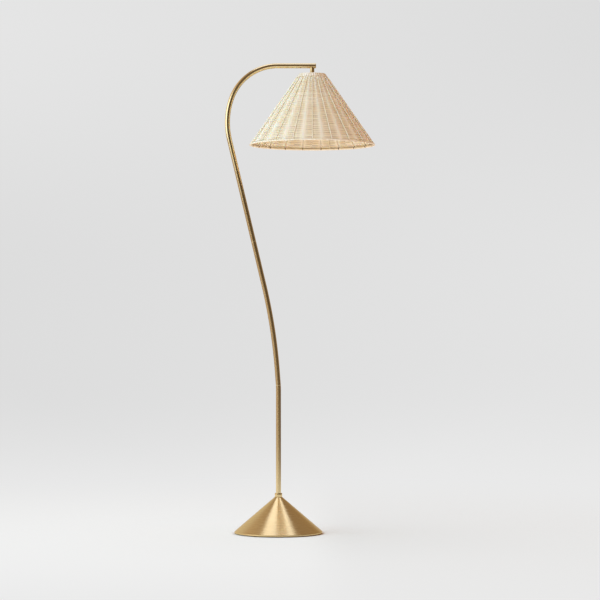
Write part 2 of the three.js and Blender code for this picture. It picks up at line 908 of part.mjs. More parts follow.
// Fitter plate with arms that sweep out and up to the top ring
function makeSpider() {
  const plate = pipe(fitterRadius, fitterBore, fitterBottom, fitterTop, holderSides);
  const rootLevel = fitterBottom + armWireRadius;
  const rootRadius = fitterRadius - armRootInset;
  const endRadius = wireRadiusAt(topRingLevel, ringWireRadius);
  const endLevel = topRingLevel - ringWireRadius - seatGap;
  const bulgeRadius = rootRadius + (endRadius - rootRadius) * armBulgeShare;
  const sweep = new THREE.QuadraticBezierCurve3(
    new THREE.Vector3(rootRadius, 0, rootLevel),
    new THREE.Vector3(bulgeRadius, 0, rootLevel),
    new THREE.Vector3(endRadius, 0, endLevel),
  );
  const section = new THREE.Shape(circle(armWireRadius).getPoints(leadSides / 2).slice(1));
  const arms = roundZ(armCount, (angle) => {
    const arm = new THREE.ExtrudeGeometry(section, { steps: leadSides, extrudePath: sweep });
    return arm.rotateZ(angle + Math.PI / armCount);
  });
  return joined(plate, ...arms);
}

function makeShade() {
  const shade = new THREE.Group();
  const coverTop = shadeTop - topBindingHeight - seatGap;
  const coverBottom = shadeBottom + bottomBindingHeight + seatGap;
  shade.add(part('woven_cover', coverBand(coverBottom, coverTop), rattanCore));
  shade.add(part('top_binding', coverBand(shadeTop - topBindingHeight, shadeTop), rattanPeel));
  shade.add(part('bottom_binding', coverBand(shadeBottom, shadeBottom + bottomBindingHeight), rattanPeel));
  shade.add(part('shade_top_ring', wireRing(topRingLevel), creamWire));
  shade.add(part('shade_bottom_ring', wireRing(bottomRingLevel), creamWire));
  shade.add(part('shade_spider', makeSpider(), creamWire));
  roundZ(ribCount, (angle, index) => {
    shade.add(part(`shade_rib_${index + 1}`, makeRib(angle), creamWire));
  });
  return shade;
}

// Bulb: glass, screw cap, insulator and tip

// Outline of the globe and neck, set in by the glass's thickness where that is asked for
function bulbOutline(inset) {
  const shoulder = radians(bulbShoulderAngle);
  const globe = bulbRadius - inset;
  const neck = bulbNeckRadius - inset;
  const shoulderPoint = new THREE.Vector2(globe * Math.cos(shoulder), globeLevel + globe * Math.sin(shoulder));
  const neckPoint = new THREE.Vector2(neck, capBottom);
  const rise = (shoulderPoint.x - neck) * Math.tan(Math.PI / 2 - shoulder);
  const bendPoint = new THREE.Vector2(neck, shoulderPoint.y + rise);
  const flare = new THREE.QuadraticBezierCurve(shoulderPoint, bendPoint, neckPoint);
  return [
    ...arc(0, globeLevel, globe, -90, bulbShoulderAngle, roundSteps * 3),
    ...flare.getPoints(roundSteps).slice(1).map((point) => [point.x, point.y]),
    [neck, neckTop],
  ];
}

function makeBulbGlass() {
  return turned([...bulbOutline(0), ...bulbOutline(bulbWall).reverse()], bulbSides);
}

function makeBulbCap() {
  const bore = capRadius - capWall;
  return turned(closed([
    [bore, capBottom],
    [capRadius, capBottom],
    [capRadius, capTop],
    [capHole, capTop],
    [capHole, capTop - capWall],
    [bore, capTop - capWall],
  ]), holderSides);
}

function makeInsulator() {
  return turned([
    [0, insulatorTop - insulatorHeight],
    [insulatorBottomRadius, insulatorTop - insulatorHeight],
    [insulatorTopRadius, insulatorTop],
    [0, insulatorTop],
  ], smallSides);
}

function makeBulb() {
  const bulb = new THREE.Group();
  bulb.add(part('bulb_glass', makeBulbGlass(), frostedGlass));
  bulb.add(part('bulb_screw_cap', makeBulbCap(), plainAluminium));
  bulb.add(part('bulb_insulator', makeInsulator(), blackPlastic));
  bulb.add(part('bulb_tip', disc(tipRadius, tipTop - tipHeight, tipTop, smallSides), plainAluminium));
  return bulb;
}

// Whole lamp
function makeLamp() {
  const lamp = new THREE.Group();
  lamp.add(makeBase());
  lamp.add(makePole());
  lamp.add(makeLead());
  const hanging = at(new THREE.Group(), dropAxis.x, dropAxis.y, dropAxis.z);
  hanging.add(makeHolder());
  hanging.add(makeSwitch());
  hanging.add(part('shade_ring_nut', makeRingNut(), blackPlastic));
  hanging.add(makeShade());
  hanging.add(makeBulb());
  lamp.add(hanging);
  return lamp;
}

export default makeLamp();
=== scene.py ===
import math
import random
from functools import partial

import bmesh
import bpy
from mathutils import Matrix, Vector


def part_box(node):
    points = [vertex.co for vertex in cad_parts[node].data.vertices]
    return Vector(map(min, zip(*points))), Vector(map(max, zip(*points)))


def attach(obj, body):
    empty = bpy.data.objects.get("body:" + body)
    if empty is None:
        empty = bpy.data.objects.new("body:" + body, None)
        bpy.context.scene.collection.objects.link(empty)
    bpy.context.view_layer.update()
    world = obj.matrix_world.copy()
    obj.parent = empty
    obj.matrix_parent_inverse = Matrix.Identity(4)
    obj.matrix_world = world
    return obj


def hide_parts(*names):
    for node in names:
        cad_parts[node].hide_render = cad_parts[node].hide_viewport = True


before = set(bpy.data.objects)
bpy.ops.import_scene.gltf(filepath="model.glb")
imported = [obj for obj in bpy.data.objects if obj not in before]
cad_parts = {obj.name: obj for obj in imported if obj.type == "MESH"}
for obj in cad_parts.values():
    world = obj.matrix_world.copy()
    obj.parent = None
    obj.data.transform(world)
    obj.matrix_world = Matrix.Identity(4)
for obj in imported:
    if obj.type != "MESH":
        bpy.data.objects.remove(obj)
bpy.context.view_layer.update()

# Rattan floor lamp: a spun brass base, a bent brass tube and a woven rattan cone shade.
# Sizes are metres for the camera and light, and millimetres for the lamp's pieces and finishes.
mm = 0.001
fullTurn = 2 * math.pi
print("frame loaded,", len(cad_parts), "nodes")


# sRGB hex code to the linear colour that a shader takes
def colour(code):
    values = [int(code[place:place + 2], 16) / 255 for place in (1, 3, 5)]
    linear = [v / 12.92 if v <= 0.04045 else ((v + 0.055) / 1.055) ** 2.4 for v in values]
    return (*linear, 1.0)


# Point at an angle round an upright axis: its distance from the axis, its level, and where the axis is
def polar(angle, reach, level, axis=0):
    return Vector((axis + reach * math.cos(angle), reach * math.sin(angle), level))


# Adds a node with its settings. Its inputs come in their order or by name, as plain values, hex codes or
# outputs to link, and a node stands for the first of its outputs.
def addNode(tree, kind, inputs=(), **settings):
    node = tree.nodes.new("ShaderNode" + kind)
    for name, value in settings.items():
        setattr(node, name, value)
    inOrder = [socket for socket in node.inputs if socket.enabled]
    for name, value in inputs.items() if isinstance(inputs, dict) else enumerate(inputs):
        socket = node.inputs[name] if isinstance(name, str) else inOrder[name]
        if isinstance(value, bpy.types.Node):
            value = next(output for output in value.outputs if output.enabled)
        if isinstance(value, bpy.types.NodeSocket):
            tree.links.new(value, socket)
        else:
            socket.default_value = colour(value) if isinstance(value, str) else value
    return node


smooth = {"interpolation_type": "SMOOTHSTEP"}
inColour = {"data_type": "RGBA"}


# Empties a tree, and gives the function that adds nodes to it
def emptied(tree):
    tree.nodes.clear()
    return partial(addNode, tree)


def newMaterial(name):
    material = bpy.data.materials.new(name)
    material.use_nodes = True
    return material, emptied(material.node_tree)


# Camera and light

camera = {
    "place": (0.0697, -6.968, 0.671),
    "target": (0.0697, 0.0, 0.7555),
    "view": 15.886,  # degrees across the square frame
}

lamps = {
    # name: place, target, size, watts, colour, and whether it lights matt surfaces or only metal
    "windowLeft": ((-3.4, -1.7, 1.9), (0.0, 0.0, 1.0), (4.2, 2.2), 50, "#D8F0FF", True),
    "panelAbove": ((0.0, 0.8, 6.0), (0.0, 0.8, 0.0), (4.6, 3.2), 60, "#E6EEFF", True),
    "panelShine": ((0.0, 0.2, 5.98), (0.0, 0.2, 0.0), (4.6, 5.2), 45, "#C4D9FF", False),
}

studio = {
    # pale grey paper behind the lamp, by its corners in the picture
    "paperTopLeft": "#E5E5E5",
    "paperTopRight": "#DDDDDD",
    "paperLowLeft": "#DDDDDD",
    "paperLowRight": "#E3E3E3",
    "paperAcross": (-0.14, 0.14),  # sideways headings of its left and right
    "paperUp": (0.02, 0.14),  # upward headings of its foot and top
    "paperTurn": (-0.35, 0.94, 0.0),  # where metal sees the paper
    "paperFacing": (0.5, 1.0),
    # plain walls round it: for matt surfaces pale and cool in front on the left, warm behind on the right
    "wallTurn": (0.95, 0.3, 0.0),  # from the first to the second
    "wallCool": "#CFECFF",
    "wallWarm": "#FFAB54",
    "wallWarming": (-0.9, 0.22),
    "wallLight": (0.8, 0.36),
    "wallDimming": (-0.8, 0.7),
    # wide soft box beside the camera, for matt surfaces
    "boxTurn": (-0.68, -0.69, 0.25),
    "boxFacing": (0.3, 1.0),
    "boxLight": 0.95,
    "boxTint": "#CFEEFF",
    # in metal, where lamps and paper stand out: left, middle, right, and the share that is left in front
    "wallShine": (0.78, 0.42, 0.34),
    "shineLeft": (-0.8, -0.55),
    "shineRight": (-0.2, 0.8),
    "frontShine": 0.26,
    "frontFacing": (-1.0, 0.2),
    "shineTint": "#FFE0C0",
}

floorPaper = {
    "radius": 30.0,
    "sides": 96,
    "near": "#F1F1F1",
    "reach": 4.0,  # over which it turns into the lower colours of the paper behind
    "across": 0.17,  # sideways heading of that paper's sides
    "aside": 0.1,  # painted shadow: how much darker it is to the right of the lamp
    "paintedShadowSpan": (0.05, 0.25),
    "paintedShadowFade": 3.0,  # how much sooner that painted shadow ends than its own colour
    # share of its look that takes shadows: under the base, beside it, and far from it
    "shadowShare": ((0.15, 1.0), (0.6, 0.6), (2.5, 0.0)),
    "fill": "#7D949C",  # added where the floor takes shadows, up to its own paleness
    "contact": (0.138, 0.16),  # under the base's rim there is none of it
    "lit": "#ECEAE5",  # against the warm light on it
    # what it sends to the lamp
    "bounce": "#FAFAFA",
    "light": 0.56,
    "tint": "#FFECDA",
    # share of its paleness that metal sees: near the lamp, and far off on the left and on the right
    "shine": (1.25, 0.6, 0.18),
    "farShine": "#DEC4AC",
    "farSpan": (2.0, 3.6),
    "farLean": 0.6,  # sooner on the right by this
    "farSide": 0.8,
}


# Camera or lamp that looks from its place to a target
def aimed(name, data, place, target):
    thing = bpy.data.objects.new(name, data)
    bpy.context.scene.collection.objects.link(thing)
    thing.location = place
    thing.rotation_euler = (Vector(target) - Vector(place)).to_track_quat("-Z", "Y").to_euler()
    return thing


def placeCamera():
    data = bpy.data.cameras.new("camera")
    data.angle = math.radians(camera["view"])
    data.clip_end = 100
    bpy.context.scene.camera = aimed("camera", data, camera["place"], camera["target"])


def placeLamps():
    for name, (place, target, size, watts, tint, matt) in lamps.items():
        data = bpy.data.lights.new(name, "AREA")
        data.shape = "RECTANGLE"
        data.size, data.size_y = size
        data.energy = watts
        data.color = colour(tint)[:3]
        aimed(name, data, place, target).visible_diffuse = matt


# Pale paper for what the camera sees, and plain walls for the light that they give
def makeWorld():
    s = studio
    world = bpy.data.worlds.new("studio")
    bpy.context.scene.world = world
    world.use_nodes = True
    add = emptied(world.node_tree)
    ray = add("LightPath").outputs
    place = add("TexCoord").outputs["Generated"]
    axes = add("SeparateXYZ", [place]).outputs
    behind = add("VectorMath", [place, s["paperTurn"]], operation="DOT_PRODUCT")
    facing = add("MapRange", [behind, *s["paperFacing"]], **smooth)
    seen = add("Math", [ray["Is Glossy Ray"], facing], operation="MULTIPLY")
    seen = add("Math", [seen, ray["Is Camera Ray"]], operation="MAXIMUM")
    seen = add("Math", [seen, ray["Is Transmission Ray"]], operation="MAXIMUM")
    toRight = add("MapRange", [axes["X"], *s["paperAcross"]])
    toTop = add("MapRange", [axes["Z"], *s["paperUp"]], **smooth)
    low = add("Mix", [toRight, s["paperLowLeft"], s["paperLowRight"]], **inColour)
    high = add("Mix", [toRight, s["paperTopLeft"], s["paperTopRight"]], **inColour)
    sheet = add("Mix", [toTop, low, high], **inColour)
    paper = add("Background", [sheet, 1.0])
    aside = add("VectorMath", [place, s["wallTurn"]], operation="DOT_PRODUCT")
    warmth = add("MapRange", [aside, *s["wallWarming"]], **smooth)
    wall = add("Mix", [warmth, s["wallCool"], s["wallWarm"]], **inColour)
    light = add("MapRange", [aside, *s["wallDimming"], *s["wallLight"]])
    box = add("VectorMath", [place, s["boxTurn"]], operation="DOT_PRODUCT")
    box = add("MapRange", [box, *s["boxFacing"], 0.0, s["boxLight"]], **smooth)
    box = add("Math", [box, ray["Is Diffuse Ray"]], operation="MULTIPLY")
    softBox = add("Background", [s["boxTint"], box])
    left, middle, right = s["wallShine"]
    toLeft = add("MapRange", [axes["X"], *s["shineLeft"], left, middle], **smooth)
    toSide = add("MapRange", [axes["X"], *s["shineRight"], 1.0, right / middle])
    shine = add("Math", [toLeft, toSide], operation="MULTIPLY")
    front = add("MapRange", [behind, *s["frontFacing"], s["frontShine"], 1.0], **smooth)
    shine = add("Math", [shine, front], operation="MULTIPLY")
    tint = add("Mix", [ray["Is Diffuse Ray"], s["shineTint"], wall], **inColour)
    strength = add("Mix", [ray["Is Diffuse Ray"], shine, light])
    walls = add("Background", [tint, strength])
    walls = add("AddShader", [walls, softBox])
    both = add("MixShader", [seen, walls, paper])
    add("OutputWorld", [both])


# Seamless paper floor: pale to the camera, with part of it left plain so that it takes the shadow, and a
# painted shadow to the right of the lamp
def makeFloor():
    f = floorPaper
    material, add = newMaterial("seamlessPaper")
    ray = add("LightPath").outputs
    seen = add("Math", [ray["Is Camera Ray"], ray["Is Glossy Ray"]], operation="MAXIMUM")
    seen = add("Math", [seen, ray["Is Transmission Ray"]], operation="MAXIMUM")
    place = add("TexCoord").outputs["Object"]
    reach = add("VectorMath", [place], operation="LENGTH")
    fade = add("Math", [reach, -f["reach"]], operation="DIVIDE")
    fade = add("Math", [fade], operation="EXPONENT")
    turn = add("VectorMath", [place], operation="NORMALIZE")
    turn = add("SeparateXYZ", [turn]).outputs["X"]
    toRight = add("MapRange", [turn, -f["across"], f["across"]])
    low = add("Mix", [toRight, studio["paperLowLeft"], studio["paperLowRight"]], **inColour)
    tone = add("Mix", [fade, low, f["near"]], **inColour)
    # painted shadow: darker to the right of the lamp, fading with distance
    aside = add("SeparateXYZ", [place]).outputs["X"]
    aside = add("MapRange", [aside, *f["paintedShadowSpan"], 0.0, f["aside"]], **smooth)
    sooner = add("Math", [fade, f["paintedShadowFade"]], operation="POWER")
    aside = add("Math", [aside, sooner], operation="MULTIPLY")
    aside = add("Math", [1.0, aside], operation="SUBTRACT")
    (under, first), (beside, second), (away, third) = f["shadowShare"]
    near = add("MapRange", [reach, under, beside, 1 - first, 1 - second], **smooth)
    off = add("MapRange", [reach, beside, away, 0.0, second - third], **smooth)
    plain = add("Math", [near, off], operation="ADD")
    nearShine, leftShine, rightShine = f["shine"]
    far = add("Math", [turn, f["farLean"], reach], operation="MULTIPLY_ADD")
    far = add("MapRange", [far, *f["farSpan"]], **smooth)
    dim = add("MapRange", [turn, -f["farSide"], f["farSide"], leftShine, rightShine])
    dim = add("Mix", [far, nearShine, dim])
    strength = add("Mix", [ray["Is Glossy Ray"], aside, dim])
    strength = add("Mix", [seen, f["light"], strength])
    far = add("Math", [ray["Is Glossy Ray"], far], operation="MULTIPLY")
    tone = add("Mix", [far, tone, f["farShine"]], **inColour)
    contact = add("MapRange", [reach, *f["contact"]], **smooth)
    fill = add("Mix", [contact, "#000000", f["fill"]], **inColour)
    face = add("Mix", [plain, fill, tone], **inColour)
    face = add("Mix", [seen, f["tint"], face], **inColour)
    glow = add("Emission", [face, strength])
    share = add("Math", [seen, plain], operation="MULTIPLY")
    bounce = add("Mix", [seen, f["bounce"], f["lit"]], **inColour)
    bounce = add("Mix", [share, bounce, "#000000"], **inColour)
    bounce = add("VectorMath", [bounce, aside], operation="SCALE")
    paper = add("BsdfDiffuse", [bounce])
    both = add("AddShader", [paper, glow])
    add("OutputMaterial", [both])
    mesh = bpy.data.meshes.new("floor")
    rim = [polar(fullTurn * k / f["sides"], f["radius"], 0) for k in range(f["sides"])]
    mesh.from_pydata(rim, [], [tuple(range(f["sides"]))])
    mesh.materials.append(material)
    floor = bpy.data.objects.new("floor", mesh)
    bpy.context.scene.collection.objects.link(floor)


placeCamera()
placeLamps()
makeWorld()
makeFloor()
bpy.context.scene.view_settings.view_transform = "Standard"
print("camera, lamps and floor placed")


# Metals

noiseSpan = (0.3, 0.7)  # where most of a noise's values lie


# Ends a material: its tone, the height of its relief with (strength, depth), and the rest of its face
def addFace(add, tone, height, relief, rest):
    bump = add("Bump", {"Height": height, "Strength": relief[0], "Distance": relief[1] * mm})
    face = add("BsdfPrincipled", {"Base Color": tone, "Normal": bump, **rest})
    add("OutputMaterial", [face])


brass = {
    # name: tones, lacquer patches, roughness, smear, relief (strength, depth), lacquer's roughness
    "satinBrassSpun": ("#E0C48D", "#E7CE99", 60, (0.22, 0.31), 0.85, (0.12, 0.05), 0.15),
    "satinBrassTurned": ("#E0C48D", "#E7CE99", 60, (0.16, 0.23), 0.3, (0.12, 0.05), 0.15),
    "satinBrassDrawn": ("#E7CF9C", "#EED9A9", 45, (0.14, 0.2), 0.5, (0.04, 0.03), 0.12),
}


# Satin brass, lacquered, from the noise of its tool lines and the way that they run
def makeBrass(name, add, lines, around):
    dark, light, patches, polish, smear, relief, coat = brass[name]
    place = add("TexCoord").outputs["Object"]
    cloud = add("TexNoise", {"Vector": place, "Scale": 1 / (patches * mm), "Detail": 2.0})
    tone = add("Mix", [cloud, dark, light], **inColour)
    streak = add("MapRange", [lines, *noiseSpan, *polish])
    addFace(add, tone, lines, relief, {
        "Metallic": 1.0, "Roughness": streak, "Anisotropic": smear, "Anisotropic Rotation": 0.25,
        "Tangent": around, "Specular Tint": "#EBD3A4", "Coat Weight": 0.4, "Coat Roughness": coat})


# Spun or turned on a lathe: lines 0.8 mm apart run round, so light smears up the cone
def makeLatheBrass(name):
    material, add = newMaterial(name)
    axes = add("SeparateXYZ", [add("TexCoord").outputs["Object"]]).outputs
    reach = add("CombineXYZ", [axes["X"], axes["Y"]])
    reach = add("VectorMath", [reach], operation="LENGTH")
    rings = add("CombineXYZ", [reach, 0.0, axes["Z"]])
    lines = add("TexNoise", {"Vector": rings, "Scale": 1 / (0.8 * mm), "Detail": 3.0, "Roughness": 0.6})
    makeBrass(name, add, lines, add("Tangent", direction_type="RADIAL", axis="Z"))
    return material


# Drawn, then sanded round: lines 0.5 mm apart and 12 mm long, so crisp bands run along the tube
def makeDrawnBrass(name):
    material, add = newMaterial(name)
    place = add("TexCoord").outputs["UV"]
    lengths = add("Mapping", {"Vector": place, "Scale": (1 / (12 * mm), 1 / (0.5 * mm), 1.0)})
    lines = add("TexNoise", {"Vector": lengths, "Scale": 1.0, "Detail": 3.0, "Roughness": 0.6})
    makeBrass(name, add, lines, add("Tangent", direction_type="UV_MAP", uv_map="along"))
    return material


# Plain finish: a noise of one grain turns one tone into another, and it, or a finer one, roughens the face
def makeMottled(name, dark, light, grain, relief, shader, noise, polish=None, fine=None):
    material, add = newMaterial(name)
    place = add("TexCoord").outputs["Object"]
    cloud = add("TexNoise", {"Vector": place, "Scale": 1 / (grain * mm), **noise})
    tone = add("Mix", [cloud, dark, light], **inColour)
    height = add("TexNoise", {"Vector": place, "Scale": 1 / (fine * mm)}) if fine else cloud
    gloss = {"Roughness": add("MapRange", [cloud, *noiseSpan, *polish])} if polish else {}
    addFace(add, tone, height, relief, {**gloss, **shader})
    return material


spunBrass = makeLatheBrass("satinBrassSpun")
turnedBrass = makeLatheBrass("satinBrassTurned")
drawnBrass = makeDrawnBrass("satinBrassDrawn")
# Machined grey metals: satin, with faint scratches
zincSteel = makeMottled("zincPlatedSteel", "#8E9092", "#A9ABAD", 3, (0.15, 0.05), {"Metallic": 1.0},
                        {"Detail": 4.0}, (0.32, 0.45))
aluminium = makeMottled("rolledAluminium", "#B4B6B8", "#C9CBCC", 2, (0.15, 0.05), {"Metallic": 1.0},
                        {"Detail": 4.0}, (0.26, 0.4))
# Sand-cast iron with a black wash: dull, with a coarse sand grain
castIron = makeMottled("castIronBlackWash", "#2B2B2C", "#4A4A4B", 1.2, (0.6, 0.3),
                       {"Metallic": 0.4, "Roughness": 0.8}, {"Detail": 5.0})

# Dull and moulded finishes

# Wool felt, pressed: no shine, a fuzz of fibres 0.6 mm apart
felt = makeMottled("pressedWoolFelt", "#3E3B38", "#6A6560", 0.6, (0.8, 0.3),
                   {"Roughness": 0.95, "Sheen Weight": 0.3, "Sheen Roughness": 0.5},
                   {"Detail": 6.0, "Roughness": 0.7, "Distortion": 1.5})
# Phenolic, pressed in a hot mould: near black with brown flow marks, a fine grain and a soft gloss
phenolic = makeMottled("mouldedPhenolic", "#171514", "#2B2320", 9, (0.2, 0.04), {"IOR": 1.6},
                       {"Detail": 4.0, "Distortion": 0.8}, (0.3, 0.42), 0.5)
# Porcelain, glazed and fired: white under a clear coat, with faint orange peel
porcelain = makeMottled("glazedPorcelain", "#E6E1D4", "#F2EEE4", 6, (0.1, 0.1),
                        {"Roughness": 0.3, "Coat Weight": 0.8, "Coat Roughness": 0.06}, {"Detail": 3.0})
# Steel wire under cream enamel, dipped: smooth and thick, with slight runs
creamWire = makeMottled("creamEnamelWire", "#DED0AE", "#ECE1C6", 5, (0.3, 0.2), {"Roughness": 0.4},
                        {"Detail": 2.0})
# Bulb glass, blown and frosted inside: milky, with a soft shine on the outside
frostedGlass = makeMottled("frostedBlownGlass", "#EDEAE2", "#F6F4EE", 1.5, (0.1, 0.05), {
    "Roughness": 0.35, "Transmission Weight": 0.35, "Subsurface Weight": 0.3,
    "Subsurface Radius": (4 * mm, 4 * mm, 4 * mm), "Subsurface Scale": 1.0,
    "Coat Weight": 0.3, "Coat Roughness": 0.15}, {"Detail": 3.0})


# Rattan

rattanTone = {
    # how much a strand's tone is changed by its fibres, by slow patches along it, by rub together with a
    # painted highlight, and by painted shade
    "fibres": 0.6,
    "patches": 0.4,
    "rubbedAndHighlight": 0.75,
    "paintedShade": 0.9,
    "patchLength": 70,
    # the sum of a strand's own tone and of these, from the first straw to the second
    "coreSpan": (0.3, 1.7),
    "peelSpan": (0.3, 1.3),
}


# Place on a strand, its looks (tone, rub with a painted highlight, painted shade), and the noise of its
# fibres by their length and width
def strandNodes(add, length, width, roughness):
    place = add("Attribute", attribute_name="strandPlace").outputs["Vector"]
    looks = add("Attribute", attribute_name="strandLook").outputs["Vector"]
    looks = add("SeparateXYZ", [looks]).outputs
    lengths = add("Mapping", {"Vector": place, "Scale": (1 / (length * mm), 1 / (width * mm), 1.0)})
    fibres = add("TexNoise", {"Vector": lengths, "Scale": 1.0, "Detail": 3.0, "Roughness": roughness})
    mixed = add("Math", [fibres, rattanTone["fibres"], looks["X"]], operation="MULTIPLY_ADD")
    return place, looks, fibres, mixed


# Rattan core, split from the cane and drawn round, left bare: matt and fibrous, straw to tan.
# Strands differ in tone. The ridges are paler, partly where the weave is rubbed and partly as a painted
# highlight, and the creases, the spots beside the odd stakes and beads on the ridges take a painted shade.
def makeRattanCore():
    material, add = newMaterial("rattanCoreDrawn")
    place, looks, fibres, mixed = strandNodes(add, 30, 0.4, 0.65)
    t = rattanTone
    patches = add("Mapping", {"Vector": place, "Scale": (1 / (t["patchLength"] * mm), 0.0, 1.0)})
    slow = add("TexNoise", {"Vector": patches, "Scale": 1.0, "Detail": 1.0})
    mixed = add("Math", [slow, t["patches"], mixed], operation="MULTIPLY_ADD")
    amount = add("MapRange", [mixed, *t["coreSpan"]])
    tone = add("Mix", [amount, "#F3ECD6", "#E3D3AE"], **inColour)
    # paler on the ridges: rub, and a painted highlight
    rubbedAndHighlight = add("Math", [looks["Y"], t["rubbedAndHighlight"]], operation="MULTIPLY")
    tone = add("Mix", [rubbedAndHighlight, tone, "#F3EDDA"], **inColour)
    # painted shade: dark brown in the creases, beside the odd stakes and in beads on the ridges
    paintedShade = add("Math", [looks["Z"], t["paintedShade"]], operation="MULTIPLY")
    tone = add("Mix", [paintedShade, tone, "#6C502C"], **inColour)
    dull = add("MapRange", [fibres, *noiseSpan, 0.5, 0.68])
    addFace(add, tone, fibres, (0.35, 0.12), {
        "Roughness": dull, "Subsurface Weight": 0.5, "Subsurface Scale": 1.0,
        "Subsurface Radius": (3.0 * mm, 2.2 * mm, 1.4 * mm)})
    return material


# Rattan peel, the cane's own skin shaved into flat strips and wound tight: pale with a waxy shine
def makeRattanPeel():
    material, add = newMaterial("rattanPeelWound")
    _, looks, grain, mixed = strandNodes(add, 20, 0.5, 0.6)
    amount = add("MapRange", [mixed, *rattanTone["peelSpan"]])
    tone = add("Mix", [amount, "#F7F0DE", "#E9DBB9"], **inColour)
    # painted shade in the grooves between the wraps
    tone = add("Mix", [looks["Z"], tone, "#7A5C36"], **inColour)
    addFace(add, tone, grain, (0.25, 0.1), {"Roughness": 0.42, "Coat Weight": 0.15, "Coat Roughness": 0.25})
    return material


# Brown waxed thread, twisted: dark, matt, with slanted ply marks about 2 mm apart
def makeThread():
    material, add = newMaterial("waxedLinenThread")
    place = add("TexCoord").outputs["Object"]
    ply = add("TexWave", {"Vector": place, "Scale": 1 / (6 * mm), "Distortion": 1.0},
                  bands_direction="DIAGONAL").outputs["Fac"]
    tone = add("Mix", [ply, "#6B4F30", "#8C6D45"], **inColour)
    addFace(add, tone, ply, (0.5, 0.2), {"Roughness": 0.7})
    return material


rattanCore = makeRattanCore()
rattanPeel = makeRattanPeel()
waxedThread = makeThread()
print("materials made,", len(bpy.data.materials))


# Mesh making

# Where a node starts and ends along an axis, which is upwards if none is given
def span(node, axis=2):
    low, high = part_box(node)
    return low[axis] / mm, high[axis] / mm


# Outline whose corners (radius, height, rounding) become arcs
def softened(corners, steps=5):
    outline = []
    for index, (radius, height, rounding) in enumerate(corners):
        here = Vector((radius, height))
        if rounding == 0:
            outline.append(here)
            continue
        back = (Vector(corners[index - 1][:2]) - here).normalized()
        onward = (Vector(corners[(index + 1) % len(corners)][:2]) - here).normalized()
        half = back.angle(onward) / 2
        centre = here + (back + onward).normalized() * (rounding / math.sin(half))
        start = here + back * (rounding / math.tan(half)) - centre
        end = here + onward * (rounding / math.tan(half)) - centre
        first = math.atan2(start.y, start.x)
        sweep = (math.atan2(end.y, end.x) - first + math.pi) % fullTurn - math.pi
        for step in range(steps + 1):
            angle = first + sweep * step / steps
            outline.append(centre + Vector((math.cos(angle), math.sin(angle))) * rounding)
    return outline


# Same outline with no edge longer than a given length, for surfaces that get a relief
def subdivided(outline, longest):
    fine = []
    for here, after in zip(outline, outline[1:] + outline[:1]):
        count = max(1, math.ceil((after - here).length / longest))
        fine.extend(here.lerp(after, step / count) for step in range(count))
    return fine


# Corners and faces that join rings of equal count; the last ring can join the first
def skin(rings, joinEnds=False, capEnds=False):
    count = len(rings[0])
    corners = [corner for ring in rings for corner in ring]
    faces = []
    for index in range(len(rings) if joinEnds else len(rings) - 1):
        low = index * count
        high = (index + 1) % len(rings) * count
        for spot in range(count):
            after = (spot + 1) % count
            faces.append((low + spot, low + after, high + after, high + spot))
    if capEnds:
        faces.append(tuple(range(count - 1, -1, -1)))
        faces.append(tuple(range(len(corners) - count, len(corners))))
    return corners, faces


# Corners and faces of several skins as one
def joined(skins):
    corners = []
    faces = []
    for more, sides in skins:
        faces += [tuple(corner + len(corners) for corner in side) for side in sides]
        corners += more
    return corners, faces


# Ring of corners round a point, across two headings
def ringAt(point, side, up, radius, sides):
    return [point + (side * math.cos(fullTurn * k / sides) + up * math.sin(fullTurn * k / sides)) * radius
            for k in range(sides)]


# Outline turned about Z; relief(angle, radius, height) moves the surface out or in
def turned(outline, sides, relief=None):
    rings = []
    for step in range(sides):
        angle = fullTurn * step / sides
        rings.append([polar(angle, radius + (relief(angle, radius, height) if relief else 0), height)
                      for radius, height in outline])
    return skin(rings, joinEnds=True)


def newMesh(name, made):
    mesh = bpy.data.meshes.new(name)
    mesh.from_pydata([corner * mm for corner in made[0]], [], made[1])
    return mesh


mergeReach = 0.002  # corners closer than this are one


# Turns a mesh's faces outwards, after its doubled corners are merged, and puts it in its place
def cleanMesh(mesh, place=None, merge=False):
    shape = bmesh.new()
    shape.from_mesh(mesh)
    if merge:
        bmesh.ops.remove_doubles(shape, verts=shape.verts, dist=mergeReach * mm)
    bmesh.ops.recalc_face_normals(shape, faces=shape.faces)
    if place:
        shape.transform(place)
    shape.to_mesh(mesh)
    shape.free()


# Finishes a mesh as a piece that rides on its body and stands for its node
def placePiece(mesh, material, body, node, sharp=None):
    mesh.shade_smooth()
    if sharp:
        mesh.set_sharp_from_angle(angle=math.radians(sharp))
    mesh.materials.append(material)
    piece = bpy.data.objects.new(mesh.name, mesh)
    bpy.context.scene.collection.objects.link(piece)
    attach(piece, body)
    if node:
        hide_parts(node)


def addPiece(name, made, material, body, node, place=None, sharp=35):
    mesh = newMesh(name, made)
    cleanMesh(mesh, place, merge=True)
    placePiece(mesh, material, body, node, sharp)


# Piece turned from (radius, height, rounding) corners; one with a relief gets edges of a longest length
def addTurned(name, corners, sides, material, body, node, place=None, relief=None, longest=None, sharp=35):
    outline = softened(corners)
    if relief:
        outline = subdivided(outline, longest)
    addPiece(name, turned(outline, sides, relief), material, body, node, place, sharp)


edgeMiddle = 0.3  # of an edge's rounding: how far its middle is set in from both sides


# 0 at whole turns and 1 halfway
def dip(angle):
    return 0.5 - 0.5 * math.cos(angle)


# How far under the crest a relief still moves the surface: bores stay plain
threadReach = 0.7
fluteReach = 1.3


# Relief of a round thread between two levels; it is rolled through a thin wall, so the inside has it too
def threaded(crest, start, end, pitch, depth):
    def relief(angle, radius, height):
        if radius < crest - threadReach or not start < height < end:
            return 0
        return -depth * dip(fullTurn * height / pitch - angle)
    return relief


# Relief of flutes on the outside, which fade in over a run from both levels
def fluted(crest, start, end, run, count, depth, sharpness):
    def relief(angle, radius, height):
        if radius < crest - fluteReach:
            return 0
        fade = max(0, min(1, (height - start) / run, (end - height) / run))
        return -depth * fade * dip(count * angle) ** sharpness
    return relief


# Base

